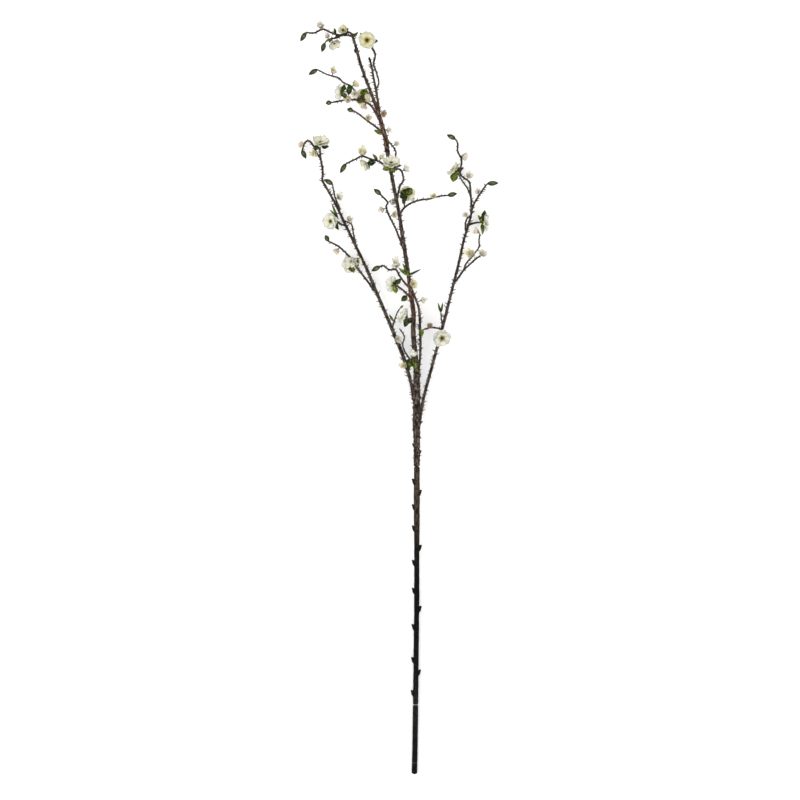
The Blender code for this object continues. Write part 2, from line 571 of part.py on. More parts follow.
def build():
    rng = random.Random(SEED)
    for old in list(bpy.data.objects):
        bpy.data.objects.remove(old, do_unlink=True)
    bpy.context.scene.collection.objects.link(bpy.data.objects.new("branch", None))
    settle_resting_blooms()
    socket = build_stem(rng)

    # Centre branch: crown, main limb, two forks, the twin strand and the twigs that stay with it.
    main = curve(along(CENTRE, CENTRE_HEIGHTS), 19)
    left_fork = curve(along(LEFT_FORK, (43.6, 45, 45)), 13)
    right_fork = curve(along(RIGHT_FORK, (43.6, 46, 47)), 13)
    twin = curve(along(TWIN, (22.5, 24.5, 27, 30.2)), 13)
    roots = [(-62, 1013, 44), (-54, 988, 43), (-41, 927, 40), (-17, 795, 33), (-25, 856, 36),
             (-12, 742, 30), (3, 560, 20), (8, 545, 20), (-99.8, 1140, 45), (5, 514, 19), (-8, 600, 23),
             (-11, 755, 31), (-4, 620, 25)]
    shapes = [tube(main, CENTRE_RADII, 8), tube(left_fork, (2.4, 1.9, 1.7, 1.3), 6),
              tube(right_fork, (1.9, 1.5, 1.2), 6), tube(twin, (1.4, 1.9, 1.9, 1.5), 6)]
    crown = curve(along([(0.5, 486), (0, 515), (0.8, 548), (0.4, 580)], (19, 22)), 16)
    shapes.append(tube(crown, (2.0, 3.4, 3.6, 1.6), 8))
    twigs = [
        twig([(-62.2, 1053.6), (-57.9, 1066), (-61.8, 1082), (-66.2, 1095), (-64, 1112)], (46, 49, 46),
             into="tip"),
        twig([(-100.6, 1142.5), (-106.1, 1146)], (45, 46.5), into="tip_bud"),
        twig([(-29.6, 877), (-24, 900), (-18.6, 910), (-23.2, 926)], (36.5, 43, 49), into="mid_top"),
        twig([(-44, 973), (-36.8, 965), (-30.6, 955), (-31.4, 947)], (42.5, 46, 46.5), (1.1, 0.9)),
        twig([(-7.2, 723), (-13, 728), (-19, 734)], (29, 32), into="centre_low"),
        twig([(-2.6, 685), (-4, 690)], (28, 33), into="centre_front"),
        twig([(0, 614), (-3, 620)], (24.5, 35), into="trunk_bud"),
        twig([(-6, 724), (-11, 728), (-14.5, 723)], (29.5, 31.5), (1.2, 0.9)),
    ]
    shapes += [bar for _, bar in twigs]
    shapes.append(leaf((-2.5, 690, 27.5), (-17, 679, 25.5), 8))
    shapes.append(leaf((-13.5, 724, 31.5), (-21, 718.5, 31), 6.5))
    shapes.append(leaf((-51, 983, 43.3), (-66, 990, 45.5), 6.5))
    shapes.append(leaf((-99, 1138, 45), (-91, 1146, 47.5), 5))
    paths = [main] + [path for path, _ in twigs]
    for x, y, size in ((-41.5, 990.5, 10), (-48.5, 1016.5, 9), (-29.4, 968.2, 8), (-14, 928.5, 9.5),
                       (1.5, 744, 10)):
        shapes += small_blossom(paths, x, y, size, rng)
    shapes += small_blossom([twin], 13.5, 719, 8, rng)
    shapes += thorns(main, CENTRE_RADII, rng, 27, roots)
    for path in (left_fork, right_fork):
        shapes += thorns(path, (1.7, 1.3), rng, 18, roots)
    for path, _ in twigs[:4]:
        shapes += thorns(path[:-2], (1.0, 0.9), rng, 16, roots)
    for y, side in ((486, -1), (475, 1), (510, -1), (524, -1), (546, -1)):
        point = np.array((2.9 + side * 3.0, y, 18 + 0.03 * (y - 486)))
        shapes.append(turned(point, point + np.array((side * 5.2, 3.2, 0.5)), [(0.2, 1.7)], 4))
    node("centre_branch", shapes, "bark", [socket])

    # Left branch with the blossoms that hang on it.
    left = curve(along(LEFT, LEFT_HEIGHTS), 17)
    left_radii = (2.3, 2.4, 2.3, 2.0, 1.6, 1.4)
    left_roots = [(-66.9, 735, 16), (-128, 873, 17), (-37, 671, 16.5), (-10, 608, 18.5), (-152, 957, 17),
                  (-30, 661, 17)]
    left_twigs = [
        twig([(-151.6, 950), (-151.9, 957)], (17.5, 18.5), (1.5, 1.2), into="left_tip"),
        twig([(-111.8, 838), (-118.4, 840)], (16.5, 16), into="left_upper"),
        twig([(-121.6, 861.6), (-121.6, 868), (-127, 880), (-130, 892), (-132.2, 904)], (17, 23, 21), (1.2, 0.9)),
        twig([(-94.7, 806), (-98.7, 825.6), (-101.3, 839), (-112, 845.4)], (16.5, 22, 17), (1.1, 0.9)),
        twig([(-36, 668), (-34.6, 680), (-28.5, 698), (-24, 705)], (17, 19, 18), (1.1, 0.8)),
        twig([(-10.2, 606), (-7.8, 621), (-16.3, 636), (-19.6, 648), (-17, 660), (-24.8, 672.6)], (19, 27, 21),
             (1.2, 0.8)),
    ]
    shapes = [tube(left, left_radii, 6)] + [bar for _, bar in left_twigs]
    shapes.append(tip_bud(left_twigs[2][0][-1], -145.5, 911.5, 1))
    start = near(left, -127, 872)
    shapes.append(turned(start, (-133, 873.5, 21.5), [(0.2, 0.8), (0.9, 0.8)], 4))
    shapes.append(leaf((-135, 876, 21), (-122.4, 847, 24), 6, normal=(0.8, 0.5, 0.5)))
    shapes.append(leaf(left_twigs[4][0][-1], (-18.5, 710, 18), 3.5))
    shapes.append(leaf(near(left_twigs[4][0], -34, 684), (-41.5, 696, 20), 4))
    shapes.append(leaf(near(left_twigs[3][0], -101.5, 839), (-99.5, 852, 21), 4.5))
    paths = [path for path, _ in left_twigs]
    for x, y, size in ((-119, 884.5, 9), (-106.5, 833, 6), (-27.5, 656, 9), (-17.5, 612.5, 8)):
        shapes += small_blossom(paths if y > 640 else [left], x, y, size, rng)
    shapes += thorns(left, left_radii, rng, 23, left_roots, 7, [main, twin])
    for number in (2, 3, 5):
        shapes += thorns(left_twigs[number][0][:-1], (1.0, 0.9), rng, 16, left_roots, 5)
    trunk = tube(main, CENTRE_RADII, 8, 1 + GAP + 0.1)
    crown_cut = tube(crown, (2.0, 3.4, 3.6, 1.6), 8, 1 + GAP + 0.1)
    node("left_branch", shapes, "bark", [trunk, crown_cut])

    # Right branch.
    right = curve(along(RIGHT, RIGHT_HEIGHTS), 17)
    right_radii = (2.3, 2.4, 2.4, 2.2, 2.0, 1.2)
    right_roots = [(63.4, 749, 16), (90.6, 868, 17), (5, 514, 18), (9, 540, 18.5)]
    right_twigs = [
        twig([(82.5, 829), (84.6, 837), (91.2, 840.5), (96, 842)], (15.8, 15.6), into="right_floor"),
        twig([(39, 650), (41.3, 657)], (16.5, 20), into="right_front"),
        twig([(43.7, 672), (31.5, 674), (23.7, 674), (13, 671)], (16.5, 22, 22), (1.2, 0.8)),
        twig([(88.5, 853), (83.6, 849), (80.6, 841), (80.6, 829)], (17, 21, 16), (1.1, 1.0)),
        twig([(44.2, 676), (42.6, 686), (41.3, 698)], (17, 19.5), (1.1, 0.8)),
    ]
    shapes = [tube(right, right_radii, 6)] + [bar for _, bar in right_twigs]
    shapes.append(tip_bud(right[-1], 133.8, 905.8))
    shapes.append(leaf(right_twigs[4][0][-1], (36.5, 715, 21), 3.5))
    shapes.append(leaf(right_twigs[4][0][-1], (44.5, 715, 20), 3.5))
    shapes.append(turned(right_twigs[2][0][-1], (6.5, 664, 23), [(0.3, 2.6), (0.7, 2.2)], 6, 0.5))
    paths = [path for path, _ in right_twigs] + [right]
    for x, y, size in ((23.7, 676, 9), (100.5, 893.5, 10), (79.5, 857, 9)):
        shapes += small_blossom(paths, x, y, size, rng, 3)
    shapes += thorns(right, right_radii, rng, 23, right_roots, 7, [main, twin])
    twin_cut = tube(twin, (1.4, 1.9, 1.9, 1.5), 6, 1 + GAP + 0.1)
    node("right_branch", shapes, "bark", [trunk, crown_cut, twin_cut], "MANIFOLD")

    carriers = {
        "main": [trunk],
        "fork": [tube(left_fork, (2.4, 1.9, 1.7, 1.3), 6, 1 + GAP + 0.1), trunk],
        "forks": [tube(left_fork, (2.4, 1.9, 1.7, 1.3), 6, 1 + GAP + 0.1), trunk,
                  tube(right_fork, (1.9, 1.5, 1.2), 6, 1 + GAP + 0.1)],
        "left": [tube(left, left_radii, 6, 1 + GAP + 0.1)],
        "right": [tube(right, right_radii, 6, 1 + GAP + 0.1)],
    }

    limbs = [main, left_fork, right_fork, twin, left, right]

    def spray(name, carrier, lines, buds, blossoms, leaves=(), spacing=15, rise=1.5, solver="EXACT"):
        """A long twig with its side twigs. The first line starts inside the carrier and is trimmed."""
        made = [twig(*lines[0])]
        for line in lines[1:]:
            plan, heights = (line["plan"], line["heights"]) if isinstance(line, dict) else line
            start = near(made[0][0], *plan[0])
            made.append(twig([tuple(start[:2])] + plan[1:], (start[2],) + tuple(heights[1:]),
                             into=line["into"] if isinstance(line, dict) else None))
        parts = [bar for _, bar in made]
        for number, x, y in buds:
            parts.append(tip_bud(made[number][0][-1], x, y))
        lines_only = [path for path, _ in made]
        for x, y, size in blossoms:
            parts.extend(small_blossom([path[1:] for path in lines_only], x, y, size, rng, rise))
        for root, tip, width in leaves:
            parts.append(leaf(root, tip, width))
        away = [lines_only[0][0]]
        for number, path in enumerate(lines_only):
            ends_in_cup = isinstance(lines[number], dict)
            parts.extend(thorns(path[: -2 if ends_in_cup else None], (1.0, 0.9), rng, spacing, away, 5, limbs))
        node(name, parts, "bark", carriers[carrier], solver)
        return lines_only

    spray("spray_tip", "fork",
          [([(-98.6, 1139), (-107.7, 1141), (-118.4, 1141.3), (-127.2, 1142.7), (-137.1, 1146.6),
             (-147.7, 1151), (-160.6, 1145), (-173.9, 1145.4)], (45, 43, 41, 41)),
           ([(-121, 1140.4), (-129, 1136.5), (-139.5, 1134), (-144.2, 1128.6)], (42.6, 40, 39)),
           {"plan": [(-118, 1141), (-123, 1137)], "heights": (43, 43.5), "into": "tip_left"}],
          [(0, -183.2, 1131.2), (1, -149, 1114.4)],
          [(-151, 1156.5, 10), (-141, 1139.8, 7)],
          [((-128, 1143, 42), (-128.5, 1153, 42), 5)])
    spray("spray_upper", "forks",
          [([(-58, 1006), (-62.9, 1017), (-71.8, 1030), (-84.8, 1036), (-99.5, 1038.4), (-114.2, 1037.6),
             (-134.2, 1034)], (44, 44.5, 42, 34, 30)),
           ([(-89, 1037), (-95.2, 1050), (-102.9, 1060), (-114.7, 1065), (-122.4, 1073), (-139.5, 1078),
             (-156, 1086.3)], (43, 45.5, 50, 44, 41)),
           {"plan": [(-94, 1048), (-105, 1053)], "heights": (44.8, 47), "into": "upper_far"},
           {"plan": [(-80, 1034.5), (-82, 1038.5)], "heights": (43.2, 43.2), "into": "upper_near"}],
          [(0, -143, 1033), (1, -170.2, 1078)],
          [(-130.6, 1085, 9), (-93.5, 1066, 9), (-105, 1032, 9), (-81, 1026.5, 9)],
          solver="MANIFOLD")
    spray("spray_side", "main",
          [([(-50.4, 985), (-59.5, 992), (-66.9, 998), (-79.2, 1007), (-92.3, 1017), (-99.8, 1021)],
            (43, 40, 38))],
          [(0, -108.5, 1023)], [(-74, 1010.5, 9)])
    spray("spray_mid", "main",
          [([(-38.8, 925), (-45.6, 931), (-57.4, 939.5), (-69.6, 943), (-84.8, 948), (-94.7, 943.5),
             (-110.2, 936)], (40, 41, 38, 36)),
           {"plan": [(-66, 942.4), (-72, 940)], "heights": (41, 41.5), "into": "mid_left"}],
          [(0, -119.7, 921)], [(-83.5, 954.8, 10), (-54, 947, 9)],
          [((-60, 940.5, 40.6), (-68, 952, 43), 5)])
    spray("spray_low", "main",
          [([(-15.8, 792), (-20.3, 805), (-30.9, 832), (-43, 856.5), (-45.8, 869), (-43.8, 874.6), (-55, 887)],
            (33, 30, 27, 26))],
          [(0, -65.9, 896)], [(-36, 877.5, 9), (-53.5, 863, 8), (-33.5, 855, 8)], rise=-1.5)
    spray("spray_right", "main",
          [([(-25.5, 851), (-19.4, 863), (-8, 872), (8.3, 878), (22.2, 879.4), (39.7, 884), (52.5, 885.4)],
            (36.5, 43, 42, 40)),
           {"plan": [(-17, 866), (-17.5, 876)], "heights": (42.5, 41.8), "into": "mid_down"}],
          [(0, 67.2, 888.3)], [(-4.5, 879.5, 8), (29.6, 885.5, 9)])
    spray("spray_inner", "main",
          [([(-8.8, 738), (-16.6, 746), (-24.5, 757), (-30.9, 767), (-41.6, 767), (-50.9, 773.4),
             (-56, 772)], (30, 26, 24, 24))],
          [(0, -69.8, 764.5)], [(-28.5, 775.5, 10)], spacing=13)
    spray("spray_left", "left",
          [([(-66, 733), (-72.6, 744), (-85.4, 760.6), (-91.5, 768), (-100.8, 783), (-108, 791),
             (-122.2, 804), (-139.5, 813)], (16, 23, 31, 27, 22)),
           {"plan": [(-86.5, 762), (-90, 768)], "heights": (24.8, 24), "into": "left_floor"}],
          [(0, -148, 817.5)], [(-125, 795.5, 9)])
    spray("spray_left_tip", "left",
          [([(-151.2, 945), (-158, 955), (-162.9, 966), (-169.6, 973.4), (-176.3, 970.6), (-180.8, 958.4)],
            (17, 17, 16, 15))],
          [(0, -174.6, 944.8)], [(-182.5, 968, 9), (-163, 952, 8)])
    spray("spray_fork", "right",
          [([(89.6, 858), (90.2, 874), (88.9, 890), (87, 907), (77.8, 914), (72, 922), (74.6, 942),
             (68.3, 956), (68.3, 969), (64.5, 976)], (17, 19, 24, 25, 23)),
           {"plan": [(88.6, 883), (83.8, 897), (75, 910)], "heights": (18.8, 19.5), "into": "right_upper"}],
          [(0, 50.7, 983)], [(80, 948.5, 9), (88, 918.5, 10)], spacing=14)
    spray("spray_right_low", "right",
          [([(62.4, 745), (68.6, 753), (78.6, 767), (87.2, 775), (97.1, 784), (104.3, 789)], (16, 19, 18)),
           ([(77.5, 765.5), (82.1, 777), (91.2, 788), (102.4, 803), (102.2, 813), (104, 824)],
            (17.5, 21, 20))],
          [], [(86.5, 795, 10), (109.5, 794, 8), (99, 829.5, 9)])

    for name, spec in BLOOMS.items():
        node("bloom_" + name, bloom_shapes(spec), "petal")
        node("calyx_" + name, calyx_shapes(spec), "leaf")

    # Leaves that sit on the main limb by themselves.
    seat = np.array((-10.2, 757, 0.0))
    seat[2] = main[np.argmin(np.abs(main[:, 1] - seat[1]))][2] + 2.7 + GAP + 1.0
    group = [turned(seat - (0, 2, 0.4), seat + (0, 2.2, 0.4), [(0.3, 0.9), (0.7, 0.9)], 5)]
    for x, y, rise, width in ((-26.6, 770, 0, 5), (-19.8, 776, 2, 5), (8.8, 767, 0, 5)):
        group.append(leaf(seat, (x, y, seat[2] + rise), width))
    node("leaf_group", group, "leaf")


build()
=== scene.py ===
# %% [markdown]
# # An artificial blossom branch, seen from above
#
# The real thing is a shop-window branch about 1.2 m long: a dark plastic stem that plugs together from
# three lengths, a crown where three thorny branches leave it, and fine twigs with cloth blossoms, small
# half-open blossoms, green tip buds and leaves. Everything here is a surface worked out with numpy, because
# a petal, a leaf and a bark-covered bar are each one short formula of two parameters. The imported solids
# are loaded first: they say where each piece lies, and every piece below stands for one of them.

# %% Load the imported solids
import math
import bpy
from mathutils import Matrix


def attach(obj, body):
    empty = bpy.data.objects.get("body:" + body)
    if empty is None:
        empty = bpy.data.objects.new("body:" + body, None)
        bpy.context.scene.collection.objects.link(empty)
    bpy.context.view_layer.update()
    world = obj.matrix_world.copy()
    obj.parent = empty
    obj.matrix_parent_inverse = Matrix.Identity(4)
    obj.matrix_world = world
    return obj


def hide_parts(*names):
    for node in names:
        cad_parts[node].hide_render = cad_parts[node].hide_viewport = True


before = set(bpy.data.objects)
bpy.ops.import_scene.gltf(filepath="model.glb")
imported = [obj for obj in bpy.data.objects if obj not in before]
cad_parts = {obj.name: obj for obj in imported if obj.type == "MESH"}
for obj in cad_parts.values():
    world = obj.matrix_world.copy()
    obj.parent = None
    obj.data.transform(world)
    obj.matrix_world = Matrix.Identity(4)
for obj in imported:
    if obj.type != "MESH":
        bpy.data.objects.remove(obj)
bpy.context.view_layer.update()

from types import SimpleNamespace

import bpy
import numpy as np

# %% [markdown]
# ## Camera
#
# The photograph looks straight down on the branch from far away, so the picture has almost no
# perspective. A long lens does the same. The picture covers 1.28 m, and the camera hangs so high that
# this holds at the middle height of the twigs and not only on the table.

# %% Set up the camera
MM = 0.001
VIEW_WIDTH = 1.28  # metres across the square picture
LENS, SENSOR = 300.0, 36.0
MIDDLE = (-0.024, 0.5584)  # the place under the camera
TWIG_HEIGHT = 0.025
camera_data = bpy.data.cameras.new("overhead")
camera_data.lens = LENS
camera_data.sensor_width = SENSOR
camera_data.clip_end = 60.0
camera = bpy.data.objects.new("overhead", camera_data)
bpy.context.scene.collection.objects.link(camera)
camera.location = (*MIDDLE, TWIG_HEIGHT + VIEW_WIDTH * LENS / SENSOR)
bpy.context.scene.camera = camera
print("camera height in m:", round(camera.location.z, 2))

# %% [markdown]
# ## Lines in space
#
# A twig is drawn as a few points seen from above and a few heights spread evenly along it. A curve
# through all the points makes it bend like a wire and not like a folded ruler. The helpers are small, and
# all later pieces use them.

# %% Helpers for lines
def unit(vector):
    """The vector, or each row of an array of them, divided by its length."""
    vector = np.asarray(vector, float)
    return vector / np.linalg.norm(vector, axis=-1, keepdims=True)


def run_of(path):
    """The length of a line up to each of its points."""
    return np.concatenate([[0], np.cumsum(np.linalg.norm(np.diff(path, axis=0), axis=1))])


def along(plan, heights):
    """Plan points with a height each: the given heights stand at equal shares of the line's length."""
    plan = np.array(plan, float)
    run = run_of(plan)
    return np.column_stack([plan, np.interp(run / run[-1], np.linspace(0, 1, len(heights)), heights)])


def curve(points, step):
    """Points one step apart on the Catmull-Rom curve: each span is a cubic whose slope at a point is half
    the way from its neighbour before to its neighbour after."""
    points = np.array(points, float)
    if len(points) < 3:
        dense = np.linspace(points[0], points[-1], 24)
    else:
        ends = np.vstack([2 * points[0] - points[1], points, 2 * points[-1] - points[-2]])
        t = np.linspace(0, 1, 12, endpoint=False)[None, :, None]
        a, b, c, d = (ends[k:len(ends) - 3 + k][:, None] for k in range(4))
        spans = 0.5 * (2 * b + (c - a) * t + (2 * a - 5 * b + 4 * c - d) * t**2
                       + (3 * b - a - 3 * c + d) * t**3)
        dense = np.vstack([spans.reshape(-1, 3), points[-1:]])
    run = run_of(dense)
    at = np.linspace(0, run[-1], max(4, int(round(run[-1] / step)) + 1))
    return np.column_stack([np.interp(at, run, dense[:, k]) for k in range(3)])


def near(path, x, y):
    """The point of a path that is nearest in plan."""
    return path[np.argmin(np.hypot(path[:, 0] - x, path[:, 1] - y))]


def ripple(points, size, seed):
    """Smooth noise from -1 to 1: seven sine waves of about the given length, each in its own direction."""
    rng = np.random.default_rng(seed)
    ways = unit(rng.normal(size=(7, 3))) * rng.uniform(0.7, 1.5, (7, 1)) * 2 * math.pi / size
    return np.sin(points @ ways.T + rng.uniform(0, 6.28, 7)).sum(axis=-1) / 4.5


print("a test line has", len(curve([(0, 0, 0), (10, 4, 0), (20, 0, 5)], 1.0)), "points")

# %% [markdown]
# ## Shapes and pieces
#
# Three kinds of surface make the whole branch. A bar is a circle carried along a line. A turned form is a
# profile spun round an axis, for buds and cups. A sheet is a thin leaf of cloth with two faces and a rim.
# Each returns its points, its faces and three numbers per point (u across, v along, tone) that the
# materials read later, so that a vein or a darker base follows the surface wherever it bends.

# %% Helpers for shapes
FULL_TURN = 6.283  # radians; u runs from 0 to 1 round a bar


def grid_faces(rows, cols, wrap):
    """Four-cornered faces of a grid of points, row by row; wrap closes the last column onto the first."""
    r, c = np.meshgrid(np.arange(rows - 1), np.arange(cols if wrap else cols - 1), indexing="ij")
    a = r * cols + c
    b = r * cols + (c + 1) % cols
    return np.stack([a, b, b + cols, a + cols], axis=-1).reshape(-1, 4)


def shell(points, quads, tris, u, v, tone):
    """One closed shell: points, faces, and the three numbers for the materials. The sum of the volumes
    under its faces is made positive, so that they look outward."""
    marks = np.column_stack([np.broadcast_to(np.asarray(m, float), len(points)) for m in (u, v, tone)])
    a = np.vstack([quads[:, [0, 1, 2]], quads[:, [0, 2, 3]], tris])
    volume = np.einsum("ij,ij->i", points[a[:, 0]], np.cross(points[a[:, 1]], points[a[:, 2]])).sum()
    return (points, quads, tris, marks) if volume > 0 else (points, quads[:, ::-1], tris[:, ::-1], marks)


def closed(rings, poles, angle, v, v_ends, tone):
    """The shell of rings of points joined into a tube, with a pole that closes each end."""
    rows, sides = rings.shape[:2]
    ring, count = np.arange(sides), rows * sides
    after, last = (ring + 1) % sides, count - sides
    tris = np.vstack([np.column_stack([np.full(sides, count), after, ring]),
                      np.column_stack([np.full(sides, count + 1), last + ring, last + after])])
    return shell(np.vstack([rings.reshape(-1, 3), *poles]), grid_faces(rows, sides, True), tris,
                 np.append(np.tile(angle / FULL_TURN, rows), (0, 0)), np.append(np.repeat(v, sides), v_ends),
                 tone)


def bar(path, radii, sides=12, rough=0.0, grain=3.0, seed=0, tone=0.0):
    """A round bar: at each point of the path a circle stands square to it, its radius read from the list
    spread along the path, times one plus rough times a coarse and a fine ripple. Both ends close in a low
    dome."""
    tangents = unit(np.gradient(path, axis=0))
    across = np.empty_like(path)
    side = unit(np.cross(tangents[0], (0.02, 0.01, 1)))
    for row, tangent in enumerate(tangents):  # the circle is carried on without twisting
        side = unit(side - tangent * np.dot(side, tangent))
        across[row] = side
    other = np.cross(tangents, across)
    share = np.linspace(0, 1, len(path))
    radius = np.interp(share, np.linspace(0, 1, len(radii)), radii)
    angle = np.linspace(0, 2 * math.pi, sides, endpoint=False)
    ray = across[:, None] * np.cos(angle)[None, :, None] + other[:, None] * np.sin(angle)[None, :, None]
    points = path[:, None] + ray * radius[:, None, None]
    if rough:
        wave = ripple(points, grain, seed) + 0.7 * ripple(points * (1, 0.6, 1), grain * 0.36, seed + 1)
        points = points + ray * (rough * radius[:, None] * wave)[..., None]
    run = run_of(path)
    poles = path[0] - tangents[0] * radius[0] * 0.4, path[-1] + tangents[-1] * radius[-1] * 0.4
    return closed(points, poles, angle, run, (0, run[-1]), tone)


def turned(base, tip, outline, wide=1.0, sides=12, rows=10, lobes=0, depth=0.0, twist=0.0, tone=0.0):
    """A form turned round the line from base to tip. Its radius is read smoothly from the outline's pairs
    (share of the length, radius) and widened, then times one plus depth times the cosine of lobes times
    the angle."""
    base, tip = np.asarray(base, float), np.asarray(tip, float)
    axis = unit(tip - base)
    first = unit(np.cross(axis, (0.13, 0.27, 0.951)))
    second = np.cross(axis, first)
    outline = np.vstack([(0, 0), outline, (1, 0)])
    share = 0.5 - 0.5 * np.cos(np.linspace(0.12, math.pi - 0.12, rows))
    radius = np.interp(share, outline[:, 0], outline[:, 1] * wide)
    radius[1:-1] = (radius[:-2] + 2 * radius[1:-1] + radius[2:]) / 4
    angle = np.linspace(0, 2 * math.pi, sides, endpoint=False)
    wave = 1 + depth * np.cos(lobes * angle[None] + twist * share[:, None])
    ring = first * np.cos(angle)[:, None] + second * np.sin(angle)[:, None]
    points = base + (tip - base) * share[:, None, None] + ring[None] * (radius[:, None] * wave)[..., None]
    return closed(points, (base, tip), angle, share, (0, 1), tone)


def sheet(middle, thick, u, v, tone=0.0):
    """A thin solid sheet round a grid of points: the grid is moved half the thickness to each side along
    the surface's own normal, thinner towards the rim, and a strip of faces closes the rim."""
    rows, cols = middle.shape[:2]
    normal = np.cross(np.gradient(middle, axis=0), np.gradient(middle, axis=1))
    normal = normal / np.maximum(np.linalg.norm(normal, axis=-1, keepdims=True), 1e-9)
    edge = np.minimum(1, 4 * (1 - np.abs(u)) + 0.45) * np.minimum(1, 4 * (1 - v) + 0.45)
    half = normal * (thick / 2 * edge)[..., None]
    count = rows * cols
    quads = grid_faces(rows, cols, False)
    index = np.arange(count).reshape(rows, cols)
    rim = np.concatenate([index[0, :-1], index[:-1, -1], index[-1, :0:-1], index[:0:-1, 0]])
    after = np.roll(rim, -1)
    strip = np.column_stack([after, rim, rim + count, after + count])
    points = np.concatenate([(middle - half).reshape(-1, 3), (middle + half).reshape(-1, 3)])
    marks = [np.tile(np.broadcast_to(m, (rows, cols)).reshape(-1), 2) for m in (u, v)]
    faces = np.vstack([quads[:, ::-1], quads + count, strip[:, ::-1]])
    return shell(points, faces, np.zeros((0, 3), int), *marks, tone)


# %% Turn shells into a piece
def piece(name, shells, material, slot, *nodes):
    """Puts all shells into one mesh, smooth-shaded, that rides on the branch and stands for CAD nodes."""
    starts = np.concatenate([[0], np.cumsum([len(s[0]) for s in shells])])
    points, marks = (np.vstack([s[kind] for s in shells]) for kind in (0, 3))
    quads, tris = (np.vstack([s[kind] + k for s, k in zip(shells, starts)]).tolist() for kind in (1, 2))
    mesh = bpy.data.meshes.new(name)
    mesh.from_pydata(points * MM, [], quads + tris, shade_flat=False)
    for label, values in zip(("across", "along", "tone"), marks.T):
        layer = mesh.attributes.new(label, "FLOAT", "POINT")
        layer.data.foreach_set("value", values.astype(np.float32))
    made = bpy.data.objects.new(name, mesh)
    bpy.context.scene.collection.objects.link(made)
    made.data.materials.append(material)
    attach(made, "root")
    if nodes:
        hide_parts(*nodes)
    print(f"{name}: {len(mesh.polygons)} faces")


# %% [markdown]
# ## Materials
#
# Each finish is a small node tree. Colour comes from noise read in the object's own coordinates and from
# the numbers stored on the surface; roughness and bump come from the same noise, so a light speckle is
# also a raised one. Real moulded bark is dark with pale worn ridges, and printed petals are yellow at
# the heart and almost white at the rim.

# %% A helper for node trees
def is_socket(value):
    """Whether a value comes from another node."""
    return isinstance(value, bpy.types.NodeSocket)


def finish(name, roughness=0.6, **inputs):
    """A material, and short names for the nodes that feed it. The inputs are the shader's own, with _ for
    a space."""
    material = bpy.data.materials.new(name)
    material.use_nodes = True
    tree = material.node_tree
    shader = tree.nodes["Principled BSDF"]
    for key, value in dict(Roughness=roughness, **inputs).items():
        shader.inputs[key.replace("_", " ")].default_value = value

    def node(kind, inputs, output=0, **settings):
        """A new node, its inputs linked or set; returns one of its outputs."""
        made = tree.nodes.new("ShaderNode" + kind)
        for key, value in settings.items():
            setattr(made, key, value)
        for key, value in inputs.items():
            if is_socket(value):
                tree.links.new(value, made.inputs[key])
            else:
                made.inputs[key].default_value = value
        return made.outputs[output]

    def place():
        return node("TexCoord", {}, "Object")

    def upward(low, high):
        """From 0 to 1 between two places along the branch, in metres."""
        return spread(node("SeparateXYZ", {0: place()}, 1), low, high)

    def aside():
        """Distance from the middle line of the branch."""
        return maths("ABSOLUTE", node("SeparateXYZ", {0: place()}, 0))

    def noise(scale, detail, rough, at=None):
        at = place() if at is None else at
        return node("TexNoise", {"Vector": at, "Scale": scale, "Detail": detail, "Roughness": rough}, "Fac")

    def stripes(at, scale, distortion=0.0):
        return node("TexWave", {"Vector": at, "Scale": scale, "Distortion": distortion, "Detail": 2.0}, "Fac",
                    bands_direction="X")

    def vector(x, y=0.0, z=0.0):
        return node("CombineXYZ", {0: x, 1: y, 2: z})

    def mark(label):
        return node("Attribute", {}, "Fac", attribute_name=label)

    def ramp(value, *stops):
        """Colours, or one number for a grey, at places from 0 to 1."""
        made = node("ValToRGB", {"Fac": value}, "Color")
        points = made.node.color_ramp.elements
        while len(points) < len(stops):
            points.new(0.5)
        for point, (spot, colour) in zip(points, stops):
            point.position = spot
            point.color = (*(colour if np.ndim(colour) else (colour,) * 3), 1)
        return made

    def mix(share, one, two, blend="MIX"):
        one, two = (c if is_socket(c) else (*c, 1) for c in (one, two))
        return node("Mix", {0: share, 6: one, 7: two}, 2, data_type="RGBA", blend_type=blend)

    def maths(operation, one, two=0.5, three=0.0):
        return node("Math", {0: one, 1: two, 2: three}, operation=operation)

    def times(one, two):
        return maths("MULTIPLY", one, two)

    def spread(value, low, high, new_low=0.0, new_high=1.0):
        """A value stretched from one range to another, and held at its ends."""
        return node("MapRange", {"Value": value, "From Min": low, "From Max": high, "To Min": new_low,
                                 "To Max": new_high})

    def colour(socket):
        tree.links.new(socket, shader.inputs["Base Color"])

    def rough(socket, low, high):
        tree.links.new(spread(socket, 0.0, 1.0, low, high), shader.inputs["Roughness"])

    def bump(socket, height, strength):
        made = node("Bump", {"Height": socket, "Distance": height, "Strength": strength})
        tree.links.new(made, shader.inputs["Normal"])

    tools = (node, place, upward, aside, noise, stripes, vector, mark, ramp, mix, maths, times, spread,
             colour, rough, bump)
    return material, SimpleNamespace(**{tool.__name__: tool for tool in tools})


